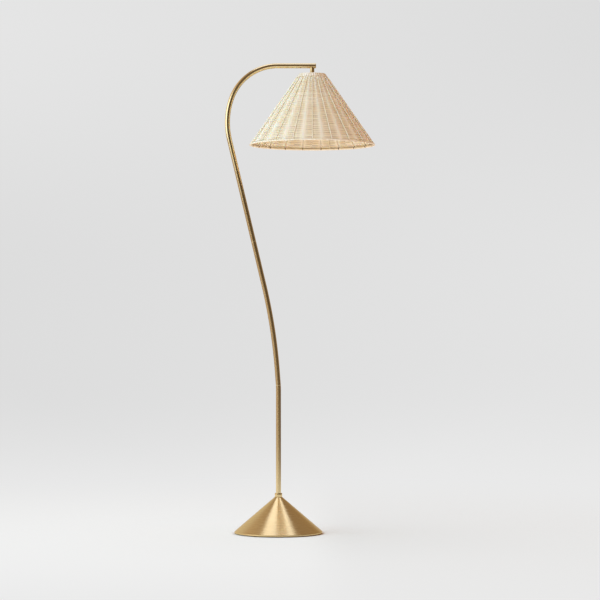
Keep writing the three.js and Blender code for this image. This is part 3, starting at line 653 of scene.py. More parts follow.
base = {
    "radius": 143.0,
    "rimLift": 2.5,
    "rimTop": 6.5,
    "rimRound": 1.5,
    "edgeRound": 1.3,
    "hemRadius": 136.0,
    "hemRound": 0.4,
    "wall": 1.5,
    "topRadius": 11.5,
    "topHeight": 118.6,
    "topRound": 0.8,
    "holeRadius": 5.3,
    "sides": 288,
}


def makeBase():
    b = base
    slope = (b["radius"] - b["topRadius"]) / (b["topHeight"] - b["rimTop"])
    lean = math.hypot(1, slope)
    inTop = b["topHeight"] - b["wall"]
    outAtTop = b["radius"] - slope * (inTop - b["rimTop"])
    inner = b["radius"] - b["wall"]
    hemTop = b["rimLift"] + b["wall"]
    addTurned("baseShell", [
        (b["hemRadius"], b["rimLift"], b["hemRound"]),
        (b["radius"], b["rimLift"], b["rimRound"]),
        (b["radius"], b["rimTop"], b["edgeRound"]),
        (b["topRadius"], b["topHeight"], b["topRound"]),
        (b["holeRadius"], b["topHeight"], 0),
        (b["holeRadius"], inTop, 0),
        (outAtTop - b["wall"] * lean, inTop, 0),
        (inner, b["rimTop"] - b["wall"] * (lean - 1) / slope, 0),
        (inner, hemTop, 0),
        (b["hemRadius"], hemTop, b["hemRound"]),
    ], b["sides"], spunBrass, "stand", "base_cone")
    radius = span("foot_pad", 0)[1]
    top = span("foot_pad")[1]
    addTurned("footPad", [(0, 0, 0), (radius, 0, 0.5), (radius, top, 0.3), (0, top, 0)], 192, felt,
              "stand", "foot_pad")


collar = {
    "radius": 11.85,
    "bore": 8.1,
    "bottom": 118.9,
    "height": 11.7,
    "topRound": 1.1,
    "footRound": 0.4,
    "boreRound": 0.3,
}


def makeCollar():
    c = collar
    top = c["bottom"] + c["height"]
    addTurned("poleCollar", [
        (c["bore"], c["bottom"], 0),
        (c["radius"], c["bottom"], c["footRound"]),
        (c["radius"], top, c["topRound"]),
        (c["bore"], top, c["boreRound"]),
    ], 96, turnedBrass, "stand", "base_collar")


bushing = {
    "bodyRadius": 4.0,
    "lipRadius": 5.0,
    "bore": 2.5,
    "lip": 1.5,
}


def makeBushing():
    start, end = span("cord_bushing", 1)
    level = sum(span("cord_bushing")) / 2 * mm
    b = bushing
    toBack = Matrix.Translation((0, 0, level)) @ Matrix.Rotation(math.radians(-90), 4, "X")
    addTurned("leadBushing", [
        (b["bore"], start, 0.3),
        (b["bodyRadius"], start, 0.5),
        (b["bodyRadius"], end - b["lip"], 0),
        (b["lipRadius"], end - b["lip"], 0.3),
        (b["lipRadius"], end, 0.6),
        (b["bore"], end, 0.6),
    ], 64, phenolic, "stand", "cord_bushing", toBack)


makeBase()
makeCollar()
makeBushing()
print("base made")


# Pole

pole = {
    "radius": 8.0,
    "bore": 6.8,
    "foot": 118.9,
    # straight lengths, and bends as (radius, degrees): minus leans back, plus comes forward
    "route": [344.6, (288.6, -4.24), 37.9, (1786.5, -9.1), 486.5, (238.5, 32.64), (157.6, 70.7), 125.1],
    "joints": [360.0, 832.7],
    "jointGap": 0.3,
    "capThickness": 2.0,
    "edge": 0.5,
    "margin": 1.0,  # from both ends to the first plain ring
    "ringSpacing": 5,
    "sides": 96,
}


# Point and heading on the pole at a distance from its foot
def poleAt(distance):
    point = Vector((0, 0, pole["foot"]))
    lean = 0.0
    for stretch in pole["route"]:
        if isinstance(stretch, tuple):
            radius, degrees = stretch
            turn = math.radians(degrees)
            length = radius * abs(turn)
            share = min(distance, length) / length
            side = radius if turn > 0 else -radius
            middle = point + Vector((math.cos(lean), 0, -math.sin(lean))) * side
            lean += turn * share
            point = middle - Vector((math.cos(lean), 0, -math.sin(lean))) * side
        else:
            length = stretch
            point = point + Vector((math.sin(lean), 0, math.cos(lean))) * min(distance, length)
        distance -= length
        if distance <= 0:
            break
    return point, Vector((math.sin(lean), 0, math.cos(lean)))


def routeLength():
    return sum(math.radians(abs(s[1])) * s[0] if isinstance(s, tuple) else s for s in pole["route"])


# Tube on the pole's route, with softened ends, and a map of its girth and length for the sanding lines
def makePoleTube(name, start, end, node):
    p = pole
    middle = p["edge"] * edgeMiddle
    edge = [(0, p["edge"]), (middle, middle), (p["edge"], 0)]  # along, and set in
    count = math.ceil((end - start) / p["ringSpacing"])
    stations = [(start + along, p["radius"] - inset) for along, inset in edge]
    plain = end - start - 2 * p["margin"]
    stations += [(start + p["margin"] + plain * step / count, p["radius"]) for step in range(count + 1)]
    stations += [(end - along, p["radius"] - inset) for along, inset in reversed(edge)]
    stations += [(end + (start - end) * step / count, p["bore"]) for step in range(count + 1)]
    rings = []
    for distance, radius in stations:
        point, heading = poleAt(distance)
        out = Vector((heading.z, 0, -heading.x))
        rings.append(ringAt(point, out, Vector((0, 1, 0)), radius, p["sides"]))
    mesh = newMesh(name, skin(rings, joinEnds=True))
    girth = fullTurn * p["radius"] * mm / p["sides"]
    places = []
    for index in range(len(rings)):
        near = stations[index][0] * mm
        far = stations[(index + 1) % len(rings)][0] * mm
        for spot in range(p["sides"]):
            left, right = girth * spot, girth * (spot + 1)
            places += [left, near, right, near, right, far, left, far]
    mesh.uv_layers.new(name="along").data.foreach_set("uv", places)
    mesh.flip_normals()
    placePiece(mesh, drawnBrass, "stand", node, sharp=50)


def makePole():
    half = pole["jointGap"] / 2
    low, high = pole["joints"]
    last = routeLength() - pole["capThickness"] - pole["jointGap"]
    makePoleTube("lowerPole", 0, low - half, "lower_pole")
    makePoleTube("middlePole", low + half, high - half, "middle_pole")
    makePoleTube("upperPole", high + half, last, "upper_pole")


armCap = {
    "plugRadius": 6.5,
    "plug": 4.0,
    "edge": 0.7,
}


def makeArmCap():
    c = armCap
    flange = pole["capThickness"]
    end = poleAt(routeLength())[0]
    toEnd = Matrix.Translation(end * mm) @ Matrix.Rotation(math.radians(90), 4, "Y")
    addTurned("armCap", [
        (0, -flange - c["plug"], 0),
        (c["plugRadius"], -flange - c["plug"], 0.4),
        (c["plugRadius"], -flange, 0),
        (pole["radius"], -flange, 0.2),
        (pole["radius"], 0, c["edge"]),
        (0, 0, 0),
    ], 96, turnedBrass, "stand", "arm_end_cap", toEnd)


makePole()
makeArmCap()
print("pole made")


# Lamp holder, switch and ring nut

hang = sum(span("shade_ring_nut", 0)) / 2  # how far along the arm the shade hangs
toHang = Matrix.Translation((hang * mm, 0, 0))

sleeve = {
    "radius": 6.9,
    "bore": 5.3,
    "edge": 0.5,
    "armRadius": 8.05,
    "fillet": 1.0,  # brazed fillet against the arm
    "filletCurve": ((0, 1.5), (0.12, 0.7), (0.4, 0.25)),  # out and under the arm, in fillets
    "filletRim": 0.75,  # the same at its thin rim
    "gap": 0.02,  # under the arm
    "sides": 96,
}


# Short tube whose top follows the arm's round underside
def makeSleeve():
    s = sleeve
    r = s["radius"]
    f = s["fillet"]
    bottom = span("drop_sleeve")[0]
    armLevel = poleAt(routeLength())[0].z
    # radius and height over the sleeve's end, and then radius and distance under the arm
    middle = s["edge"] * edgeMiddle
    foot = [(s["bore"], 0), (r - s["edge"], 0), (r - middle, middle), (r, s["edge"])]
    neck = [(r + f * out, f * under) for out, under in s["filletCurve"]]
    neck += [(r + f * s["filletRim"], s["gap"]), (s["bore"], s["gap"])]
    rings = []
    for step in range(s["sides"]):
        angle = fullTurn * step / s["sides"]
        ring = [polar(angle, radius, bottom + height) for radius, height in foot]
        for radius, drop in neck:
            underArm = armLevel - math.sqrt(s["armRadius"] ** 2 - (radius * math.sin(angle)) ** 2)
            ring.append(polar(angle, radius, underArm - drop))
        rings.append(ring)
    addPiece("dropSleeve", skin(rings, joinEnds=True), turnedBrass, "stand", "drop_sleeve", toHang, sharp=50)


holder = {
    "cupRadius": 21.0,
    "cupWall": 1.0,
    "cupRound": 6.0,
    "cupHole": 5.3,
    "groove": 0.4,  # rolled round the cup, over its mouth
    "grooveWidth": 1.4,
    "grooveLift": 5.0,
    "flangeRadius": 22.0,
    "flange": 3.0,
    "flangeDrop": 0.3,  # under the cup
    "threadRadius": 19.0,
    "threadDepth": 0.9,
    "threadPitch": 3.4,
    "threadMargin": 0.8,
    "skirtBore": 14.2,
    "insideRadius": 19.7,
    "liningRadius": 13.9,
    "liningDepth": 0.35,
    "liningWall": 0.5,
    "liningHole": 5.0,
    "screwPitch": 3.63,  # seven threads to the inch
    "screwMargins": (1.0, 2.0),  # plain at the bottom and at the top
    "contactRadius": 4.0,
    "contactThickness": 1.0,
    "contactStem": 2.0,
}


def makeHolder():
    h = holder
    cupBottom, cupTop = span("holder_cup")
    r = h["cupRadius"]
    inner = r - h["cupWall"]
    grooveTop = cupBottom + h["grooveLift"]
    addTurned("holderCup", [
        (inner, cupBottom, 0.3),
        (r, cupBottom, 0.4),
        (r, grooveTop - h["grooveWidth"], 0),
        (r - h["groove"], grooveTop - h["grooveWidth"] / 2, 0.5),
        (r, grooveTop, 0),
        (r, cupTop, h["cupRound"]),
        (h["cupHole"], cupTop, 0),
        (h["cupHole"], cupTop - h["cupWall"], 0),
        (inner, cupTop - h["cupWall"], h["cupRound"] - h["cupWall"]),
    ], 128, spunBrass, "stand", "holder_cup", toHang)

    bottom, top = span("holder_skirt")
    flangeTop = cupBottom - h["flangeDrop"]
    flangeBottom = flangeTop - h["flange"]
    thread = threaded(h["threadRadius"], bottom + h["threadMargin"], flangeBottom - h["threadMargin"],
                      h["threadPitch"], h["threadDepth"])
    addTurned("holderSkirt", [
        (h["skirtBore"], bottom, 0.4),
        (h["threadRadius"], bottom, 0.6),
        (h["threadRadius"], flangeBottom, 0),
        (h["flangeRadius"], flangeBottom, 0.5),
        (h["flangeRadius"], flangeTop, 0.5),
        (h["insideRadius"], flangeTop, 0),
        (h["insideRadius"], top, 0.3),
        (h["skirtBore"], top, 0.3),
    ], 96, phenolic, "stand", "holder_skirt", toHang, relief=thread, longest=0.45, sharp=60)

    bottom, top = span("screw_lining")
    r = h["liningRadius"]
    wall = h["liningWall"]
    first, last = h["screwMargins"]
    thread = threaded(r, bottom + first, top - last, h["screwPitch"], h["liningDepth"])
    addTurned("screwLining", [
        (r - wall, bottom, 0),
        (r, bottom, 0),
        (r, top, 0.5),
        (h["liningHole"], top, 0),
        (h["liningHole"], top - wall, 0),
        (r - wall, top - wall, 0.4),
    ], 96, aluminium, "stand", "screw_lining", toHang, relief=thread, longest=0.5, sharp=60)

    low, high = span("centre_contact")
    disc = low + h["contactThickness"]
    addTurned("centreContact", [
        (0, low, 0), (h["contactRadius"], low, 0.6), (h["contactRadius"], disc, 0.2),
        (h["contactStem"], disc, 0), (h["contactStem"], high, 0), (0, high, 0),
    ], 48, turnedBrass, "stand", "centre_contact", toHang)


ringNut = {
    "radius": 26.5,
    "bore": 19.3,
    "ribs": 36,
    "ribDepth": 0.7,
    "ribRun": 1.6,
    "ribSharpness": 2,
    "edge": 1.2,
}


def makeRingNut():
    n = ringNut
    bottom, top = span("shade_ring_nut")
    grip = fluted(n["radius"], bottom, top, n["ribRun"], n["ribs"], n["ribDepth"], n["ribSharpness"])
    addTurned("ringNut", [
        (n["bore"], bottom, 0.4),
        (n["radius"], bottom, n["edge"]),
        (n["radius"], top, n["edge"]),
        (n["bore"], top, 0.4),
    ], n["ribs"] * 8, phenolic, "ring_nut", "shade_ring_nut", toHang, relief=grip, longest=1.5, sharp=50)


knob = {
    "radius": 5.0,
    "length": 18.0,
    "endRound": 1.2,
    "flutes": 10,
    "fluteDepth": 0.7,
    "fluteStart": 3.0,
    "fluteRun": 1.5,
    "fluteSharpness": 3,
    "stemRadius": 2.0,
    "socketRadius": 2.3,
    "socketDepth": 10.0,
}


def makeSwitch():
    k = knob
    inner = span("switch_knob", 0)[0] - hang
    level = sum(span("switch_knob")) / 2 * mm
    outer = inner + k["length"]
    toSide = Matrix.Translation((hang * mm, 0, level)) @ Matrix.Rotation(math.radians(90), 4, "Y")
    flutes = fluted(k["radius"], inner + k["fluteStart"], math.inf, k["fluteRun"], k["flutes"],
                    k["fluteDepth"], k["fluteSharpness"])
    addTurned("switchKnob", [
        (0, inner + k["socketDepth"], 0),
        (k["socketRadius"], inner + k["socketDepth"], 0),
        (k["socketRadius"], inner, 0.2),
        (k["radius"], inner, 0.5),
        (k["radius"], outer, k["endRound"]),
        (0, outer, 0),
    ], k["flutes"] * 12, phenolic, "switch", "switch_knob", toSide, relief=flutes, longest=1.2, sharp=50)
    start, end = (place - hang for place in span("switch_stem", 0))
    addTurned("switchStem", [
        (0, start, 0), (k["stemRadius"], start, 0.3), (k["stemRadius"], end, 0.3), (0, end, 0),
    ], 48, turnedBrass, "switch", "switch_stem", toSide)


makeSleeve()
makeHolder()
makeRingNut()
makeSwitch()
print("lamp holder made")


# Bulb

bulb = {
    "radius": 30.0,
    "wall": 0.9,
    "neckRadius": 12.2,
    "shoulder": 52.0,  # degrees over the globe's middle
    "globeSteps": 40,
    "shoulderSteps": 20,
    "capRadius": 13.1,
    "capWall": 0.5,
    "threadDepth": 0.6,
    "threadPitch": 3.63,
    "threadMargins": (3.5, 2.5),  # plain at the bottom and at the top
    "capHole": 6.0,
    "insulatorRadius": (11.5, 5.5),
    "tipRadius": 4.5,
}


# Curve from one point to another that leaves and arrives on the way to a bend between them
def bent(start, bend, end, steps):
    shares = [step / steps for step in range(steps + 1)]
    return [start.lerp(bend, share).lerp(bend.lerp(end, share), share) for share in shares]


# Globe, shoulder and neck, set in by the glass's thickness where that is asked for
def bulbOutline(inset):
    b = bulb
    bottom, top = span("bulb_glass")
    middle = bottom + b["radius"]
    globe = b["radius"] - inset
    neck = b["neckRadius"] - inset
    last = math.radians(b["shoulder"])
    points = []
    for step in range(b["globeSteps"] + 1):
        angle = -math.pi / 2 + (last + math.pi / 2) * step / b["globeSteps"]
        points.append(Vector((globe * math.cos(angle), middle + globe * math.sin(angle))))
    start = points.pop()
    bend = Vector((neck, start.y + (start.x - neck) * math.tan(math.pi / 2 - last)))
    points += bent(start, bend, Vector((neck, span("bulb_screw_cap")[0])), b["shoulderSteps"])
    points.append(Vector((neck, top)))
    return points


def makeBulb():
    b = bulb
    glass = bulbOutline(0) + bulbOutline(b["wall"])[::-1]
    addPiece("bulbGlass", turned(glass, 128), frostedGlass, "bulb", "bulb_glass", toHang, sharp=60)
    low, high = span("bulb_screw_cap")
    r = b["capRadius"]
    wall = b["capWall"]
    first, last = b["threadMargins"]
    thread = threaded(r, low + first, high - last, b["threadPitch"], b["threadDepth"])
    addTurned("bulbCap", [
        (r - wall, low, 0),
        (r, low, 0.2),
        (r, high, 1.2),
        (b["capHole"], high, 0),
        (b["capHole"], high - wall, 0),
        (r - wall, high - wall, 0.9),
    ], 96, aluminium, "bulb", "bulb_screw_cap", toHang, relief=thread, longest=0.5, sharp=60)
    low, high = span("bulb_insulator")
    foot, top = b["insulatorRadius"]
    addTurned("bulbInsulator", [(0, low, 0), (foot, low, 0.3), (top, high, 0.5), (0, high, 0)], 64,
              phenolic, "bulb", "bulb_insulator", toHang)
    low, high = span("bulb_tip")
    r = b["tipRadius"]
    addTurned("bulbTip", [(0, low, 0), (r, low, 0), (r, high, 1.2), (0, high, 0)], 48, aluminium,
              "bulb", "bulb_tip", toHang)


makeBulb()
print("bulb made")


# Shade: its cone, and places on it

cone = {
    "top": span("top_binding")[1],
    "bottom": span("bottom_binding")[0],
    "topRadius": 42.5,
    "bottomRadius": 205.0,
    "thickness": 3.5,
}
coneWidening = cone["bottomRadius"] - cone["topRadius"]
coneTilt = math.atan2(coneWidening, cone["top"] - cone["bottom"])
slantLength = math.hypot(coneWidening, cone["top"] - cone["bottom"])
slantDown = Vector((math.sin(coneTilt), -math.cos(coneTilt)))
slantOut = Vector((math.cos(coneTilt), math.sin(coneTilt)))


# Radius and level of a place on the cone: how far down the slant, and how far under its outside
def onCone(down, depth):
    return Vector((cone["topRadius"], cone["top"])) + slantDown * down - slantOut * depth


# Same place as a corner at an angle round the shade
def conePoint(down, depth, angle):
    return polar(angle, *onCone(down, depth), hang)


def rimRadius(level):
    return cone["topRadius"] + (cone["top"] - level) * math.tan(coneTilt)


# How far down the slant a level is cut, at a depth under the cone's outside
def slantCut(level, depth=0):
    return (cone["top"] - level - depth * math.sin(coneTilt)) / math.cos(coneTilt)


wires = {
    "ringRadius": 2.0,
    "ringSides": 224,
    "ribRadius": 1.5,
    "ribOverlap": 2.5,  # the ribs end a hair inside the rings' welds
    "armRadius": 1.5,
    "gap": 0.3,
    "ribs": 5,
    "arms": 3,
    "steps": 24,
    "taper": 0.7,  # of a wire's radius at its very ends
    "steep": 0.95,  # upward heading from which a wire's sides are set by +X
    "fitterRadius": 25.0,
    "fitterBore": 19.3,
    "fitterThickness": 1.5,
    "armRootInset": 2.0,
    "armBulge": 0.8,
    "topRingDepth": 6.0,
    "bottomRingLift": 3.0,
}


# Round wire through points, with a flat end at each end
def wire(points, radius, sides=16):
    rings = []
    for index, point in enumerate(points):
        before = points[max(0, index - 1)]
        after = points[min(len(points) - 1, index + 1)]
        heading = (after - before).normalized()
        aside = Vector((0, 0, 1)) if abs(heading.z) < wires["steep"] else Vector((1, 0, 0))
        side = heading.cross(aside).normalized()
        reach = radius * (wires["taper"] if index in (0, len(points) - 1) else 1)
        rings.append(ringAt(point, side, side.cross(heading), reach, sides))
    return skin(rings, capEnds=True)


# Radius of a ring wire's own middle, under the weave
def ringMiddle(level):
    return rimRadius(level) - (cone["thickness"] + wires["gap"] + wires["ringRadius"]) / math.cos(coneTilt)


def makeFrame():
    w = wires
    topLevel = cone["top"] - w["topRingDepth"]
    bottomLevel = cone["bottom"] + w["bottomRingLift"]
    for name, level in (("top", topLevel), ("bottom", bottomLevel)):
        middle = Vector((ringMiddle(level), level))
        outline = ringAt(middle, Vector((1, 0)), Vector((0, 1)), w["ringRadius"], 20)
        addPiece(f"{name}RingWire", turned(outline, w["ringSides"]), creamWire, "shade",
                 f"shade_{name}_ring", toHang)
    depth = cone["thickness"] + w["gap"] + w["ribRadius"]
    for index in range(w["ribs"]):
        angle = fullTurn * index / w["ribs"]
        start = conePoint(slantCut(topLevel) + w["ribOverlap"], depth, angle)
        end = conePoint(slantCut(bottomLevel) - w["ribOverlap"], depth, angle)
        points = [start.lerp(end, step / w["steps"]) for step in range(w["steps"] + 1)]
        addPiece(f"ribWire{index + 1}", wire(points, w["ribRadius"]), creamWire, "shade",
                 f"shade_rib_{index + 1}")
    bottom = span("shade_spider")[0]
    top = bottom + w["fitterThickness"]
    addTurned("fitterPlate", [
        (w["fitterBore"], bottom, 0.3), (w["fitterRadius"], bottom, 0.4),
        (w["fitterRadius"], top, 0.4), (w["fitterBore"], top, 0.3),
    ], 96, creamWire, "shade", "shade_spider", toHang)
    root = Vector((w["fitterRadius"] - w["armRootInset"], bottom + w["armRadius"]))
    end = Vector((ringMiddle(topLevel), topLevel - w["ringRadius"]))
    bulge = Vector((root.x + (end.x - root.x) * w["armBulge"], root.y))
    for index in range(w["arms"]):
        angle = fullTurn * (index + 0.5) / w["arms"]
        points = [polar(angle, reach, level, hang) for reach, level in bent(root, bulge, end, w["steps"])]
        addPiece(f"fitterArm{index + 1}", wire(points, w["armRadius"]), creamWire, "shade", "shade_spider")


lashings = {
    "count": 20,  # one beside each even stake
    "first": 9.0,  # degrees from +X
    "threadRadius": 0.5,
    "turns": 2,
    "spacing": 1.1,
    "steps": 20,
    "sides": 8,
}


# Thread wound round the bottom ring
def makeLashings():
    k = lashings
    level = cone["bottom"] + wires["bottomRingLift"]
    middle = ringMiddle(level)
    reach = wires["ringRadius"] + k["threadRadius"]
    total = k["turns"] * k["steps"]
    up = Vector((0, 0, 1))
    skins = []
    for index in range(k["count"]):
        angle = math.radians(k["first"]) + fullTurn * index / k["count"]
        out = polar(angle, 1, 0)
        side = Vector((-out.y, out.x, 0))
        centre = Vector((hang, 0, level)) + out * middle
        rings = []
        for step in range(total + 1):
            around = fullTurn * step / k["steps"]
            shift = (step / total - 0.5) * k["spacing"] * k["turns"]
            arm = out * math.cos(around) + up * math.sin(around)
            spot = centre + arm * reach + side * shift
            rings.append(ringAt(spot, arm, side, k["threadRadius"], k["sides"]))
        skins.append(skin(rings, capEnds=True))
    addPiece("rimLashings", joined(skins), waxedThread, "shade", None)


makeFrame()
makeLashings()
print("shade frame made")


# Weave: one strand wound round and round, over every even stake and behind every odd one

weave = {
    "pairs": 20,
    "firstRidge": 9.0,  # degrees from +X to the first even stake
    "pitch": 3.5,  # down the slant from one turn to the next
    # the strand between the stakes, pressed over an even stake, and squeezed behind an odd one
    "thick": (1.9, 1.45, 1.5),
    "wide": (1.0, 1.04, 0.98),  # shares of the pitch, at the same places
    "pressed": 4,  # how soon it comes free of an even stake
    "square": 0.35,  # how square it is pressed over one
    "depth": 1.8,  # of the strand's middle under the cone's outside, between the stakes
    "lift": (1.0, 1.45),  # over the ridges, at the top and at the bottom
    "dive": 0.7,  # behind the odd stakes
    "diveReach": (2.6, 2.4),
    "stray": (0.14, 0.24),  # how far a strand strays between the stakes, at the top and at the bottom
    "strayHeld": 0.6,  # share of that which an odd stake holds back
    "strands": (500, 1300),  # shortest and longest, before a new one is laid in
    # Painted shade: one turn is too fine to show, so the shade painted in its creases, in spots behind the
    # odd stakes and in beads on the ridges comes in a coarser rhythm: turns from one to the next and how far
    # that drifts in a turn, then darkness, at the top and at the bottom
    "creases": (2.5, 0.1),
    "creaseDark": (0.6, 1.0),
    "creaseSpan": (0.08, 1.0),  # from a tight crease to a wide one
    "creaseGain": 1.4,  # so that some are wide open
    "creaseChance": (0.5, 1),
    "creaseEdge": 2.2,  # how close it keeps to the strand's edges
    "firstCrease": 0.3,  # over the first turn
    "spots": (5.0, 0.08),  # painted shadow spots behind the odd stakes
    "spotDark": (1.0, 0.5),
    "spotSharp": (1.5, 3.0),
    "spotChance": (0.7, 1),
    "beads": 4.0,  # painted shade in beads on the ridges, at the top alone
    "beadDark": 0.4,
    "grainShift": 0.37,  # sets each strand's grain apart
    "margin": 0.05,  # inside the cover's own levels
    "taper": 0.8,  # turns past both borders, where the strand is cut to fill the wedge
    "steps": 16,  # from one ridge to the next
    "sides": 8,
    "bands": 5,  # pieces that the weave is split into
    "seed": 11,
}

stakes = {
    # under the ridges, and those that show in the hollows: radius at the top and at the bottom, width in
    # radii, how rubbed they are with a painted highlight, and how much painted shade they take
    # the ridge stakes take painted shade, for the lines beside them seen from inside, and the hollow stakes
    # the rubbed colour in full, rub and painted highlight
    "ridgeStakes": ((0.95, 1.2), 1.4, 0.0, 0.35),
    "hollowStakes": ((1.35, 1.3), 1.0, 1.0, 0.0),
    "proud": (1.2, 0.75),  # how far a hollow stake stands out, at the top and at the bottom
    "bow": 0.4,
    "inset": 0.1,  # from the cover's own levels
    "toneSpread": 0.3,
    "grainShift": 0.9,
    "sides": 10,
    "steps": 48,
}


def between(pair, share):
    return pair[0] + (pair[1] - pair[0]) * share


# Share from the shade's top to its bottom
def downShare(down):
    return min(1, max(0, down / slantLength))


# 1 at whole numbers and 0 halfway
def beat(turns):
    return 0.5 + 0.5 * math.cos(fullTurn * turns)


# 1 where the strand is pressed over an even stake, falling to 0 on both sides
def ridgeBump(spot):
    return beat(spot) ** weave["pressed"]


# 1 where the strand is squeezed behind an odd stake, falling to 0 on both sides
def diveBump(down, spot):
    arc = onCone(down, 0).x * fullTurn / weave["pairs"]
    return math.exp(-((spot - 0.5) * arc / between(weave["diveReach"], downShare(down))) ** 2)


def strandDepth(down, spot):
    lift = between(weave["lift"], downShare(down)) * ridgeBump(spot)
    return weave["depth"] - lift + weave["dive"] * diveBump(down, spot)


# One of a strand's sizes, by how far it is over an even stake or behind an odd one
def strandSize(sizes, ridge, dive):
    return sizes[0] + (sizes[1] - sizes[0]) * ridge + (sizes[2] - sizes[0]) * dive


# Half of a width at an angle round a strand, from round to square
def rounded(value, square, width):
    return math.copysign(abs(value) ** (1 - square), value) * width / 2


# Adds a value for each corner, read by the rattan materials: where it is along and across its strand,
# and a number that sets the strand's grain apart; then the strand's tone, and how rubbed and dusty it is
def setStrand(mesh, places, looks):
    for name, values in (("strandPlace", places), ("strandLook", looks)):
        mesh.attributes.new(name, "FLOAT_VECTOR", "POINT").data.foreach_set("vector", values)


def makeWeave():
    w = weave
    pairs = w["pairs"]
    low, high = span("woven_cover")
    low += w["margin"]
    high -= w["margin"]
    first = slantCut(high, w["depth"]) + w["pitch"] / 2
    last = slantCut(low, w["depth"]) - w["pitch"] / 2
    turns = round((last - first) / w["pitch"])
    pitch = (last - first) / turns
    chance = random.Random(w["seed"])
    perTurn = pairs * w["steps"]
    total = round((turns + 2 * w["taper"]) * perTurn)
    perBand = math.ceil(total / w["bands"])
    (creaseTurns, creaseDrift), (spotTurns, spotDrift) = w["creases"], w["spots"]
    stray = {}
    crease = {}
    darkSpot = {}
    bead = {}
    creasePlace = [chance.random() for _ in range(2 * pairs)]
    spotPlace = [chance.random() for _ in range(pairs)]
    strandEnd = 0.0
    tone = 0.5
    length = 0.0
    strand = 0
    for band in range(w["bands"]):
        rings = []
        places = []
        looks = []
        for step in range(band * perBand, min(total, (band + 1) * perBand) + 1):
            count = (step - round(w["taper"] * perTurn)) / w["steps"]
            pair = math.floor(count)
            even = count - pair
            spot = even - 0.5 * math.sin(2 * fullTurn * even) / (2 * fullTurn)  # closer steps at the stakes
            turn = (pair + spot) / pairs
            angle = (turn + w["firstRidge"] / 360) * fullTurn
            ridge = pair + (spot >= 0.5)
            half = 2 * pair + (spot >= 0.5)
            if pair not in stray:
                stray[pair] = chance.uniform(-1, 1)
                spotPlace[pair % pairs] += chance.uniform(-spotDrift, spotDrift)
                darkness = beat(pair // pairs / spotTurns + spotPlace[pair % pairs])
                darkSpot[pair] = darkness * chance.uniform(*w["spotChance"])
                for side in (2 * pair, 2 * pair + 1):
                    column = side % (2 * pairs)
                    creasePlace[column] += chance.uniform(-creaseDrift, creaseDrift)
                    gape = beat(side // (2 * pairs) / creaseTurns + creasePlace[column])
                    crease[side] = min(1, w["creaseGain"] * gape * chance.uniform(*w["creaseChance"]))
            if ridge not in bead:
                darkness = beat(ridge // pairs / w["beads"] - spotPlace[ridge % pairs])
                bead[ridge] = darkness * chance.uniform(*w["spotChance"])
            down = first + pitch * turn
            share = downShare(down)
            bump = ridgeBump(spot)
            free = math.sin(math.pi * spot) ** 2 * (1 - w["strayHeld"] * diveBump(down, spot))
            down += between(w["stray"], share) * stray[pair] * free
            dive = diveBump(down, spot)
            wide = pitch * strandSize(w["wide"], bump, dive)
            thick = strandSize(w["thick"], bump, dive)
            depth = strandDepth(down, spot)
            length += fullTurn * onCone(down, depth).x / perTurn
            if length > strandEnd:
                strandEnd = length + chance.uniform(*w["strands"])
                tone = chance.random()
                strand += 1
            # painted shade of the creases above and below it, of the spots behind the odd stakes and of
            # beads on the ridges
            creases = (crease.get(half - 2 * pairs, w["firstCrease"]), crease[half])  # above and below it
            creaseDark = between(w["creaseDark"], share)
            spotDark = dive * between(w["spotDark"], share)
            spotDark *= darkSpot[pair] ** between(w["spotSharp"], share)
            beadDark = w["beadDark"] * (1 - share) ** 2 * bead[ridge]
            ring = []
            for k in range(w["sides"]):
                around = fullTurn * (k + 0.5) / w["sides"]
                across = rounded(math.cos(around), w["square"] * bump, wide)
                over = rounded(math.sin(around), w["square"] * bump, thick)
                cut = min(max(down + across, slantCut(high, depth - over)), slantCut(low, depth - over))
                ring.append(conePoint(cut, depth - over, angle))
                places += [length * mm, across * mm, strand * w["grainShift"]]
                edge = (abs(across) / wide * 2) ** w["creaseEdge"]
                dark = max(edge * creaseDark * between(w["creaseSpan"], creases[across > 0]), spotDark)
                # the ridge's bump takes the rubbed colour with its painted highlight, and the last value is
                # the painted shade
                looks += [tone, bump, dark * (1 - bump) + beadDark * bump]
            rings.append(ring)
        mesh = newMesh(f"weaveBand{band + 1}", skin(rings, capEnds=True))
        setStrand(mesh, places, looks)
        placePiece(mesh, rattanCore, "shade", "woven_cover")
    print("weave made,", turns, "turns")


def makeStakes(name, first, depthAt):
    s = stakes
    radii, flat, rubbedAndHighlight, paintedShade = s[name]
    chance = random.Random(name)
    low, high = span("woven_cover")
    start = slantCut(high)
    skins = []
    places = []
    looks = []
    for index in range(weave["pairs"]):
        angle = math.radians(first) + fullTurn * index / weave["pairs"]
        tone = chance.random()
        bow = chance.uniform(-s["bow"], s["bow"])
        side = Vector((-math.sin(angle), math.cos(angle), 0))
        out = polar(angle, slantOut.x, slantOut.y)
        rings = []
        for step in range(s["steps"] + 1):
            share = step / s["steps"]
            radius = between(radii, share)
            depth = depthAt(start + (slantCut(low) - start) * share, radius)
            top = slantCut(high, depth - radius) + s["inset"]
            bottom = slantCut(low, depth + radius) - s["inset"]
            down = top + (bottom - top) * share
            shift = bow * math.sin(math.pi * share)
            centre = conePoint(down, depth, angle)
            ring = []
            for k in range(s["sides"]):
                around = fullTurn * k / s["sides"]
                across = math.cos(around) * radius * flat + shift
                ring.append(centre + side * across + out * math.sin(around) * radius)
                places += [down * mm, across * mm, index * s["grainShift"]]
                looks += [tone * s["toneSpread"], rubbedAndHighlight, paintedShade]
            rings.append(ring)
        skins.append(skin(rings, capEnds=True))
    mesh = newMesh(name, joined(skins))
    setStrand(mesh, places, looks)
    mesh.flip_normals()
    placePiece(mesh, rattanCore, "shade", "woven_cover")


def ridgeStakeDepth(down, radius):
    return strandDepth(down, 0) + weave["thick"][1] / 2 + radius


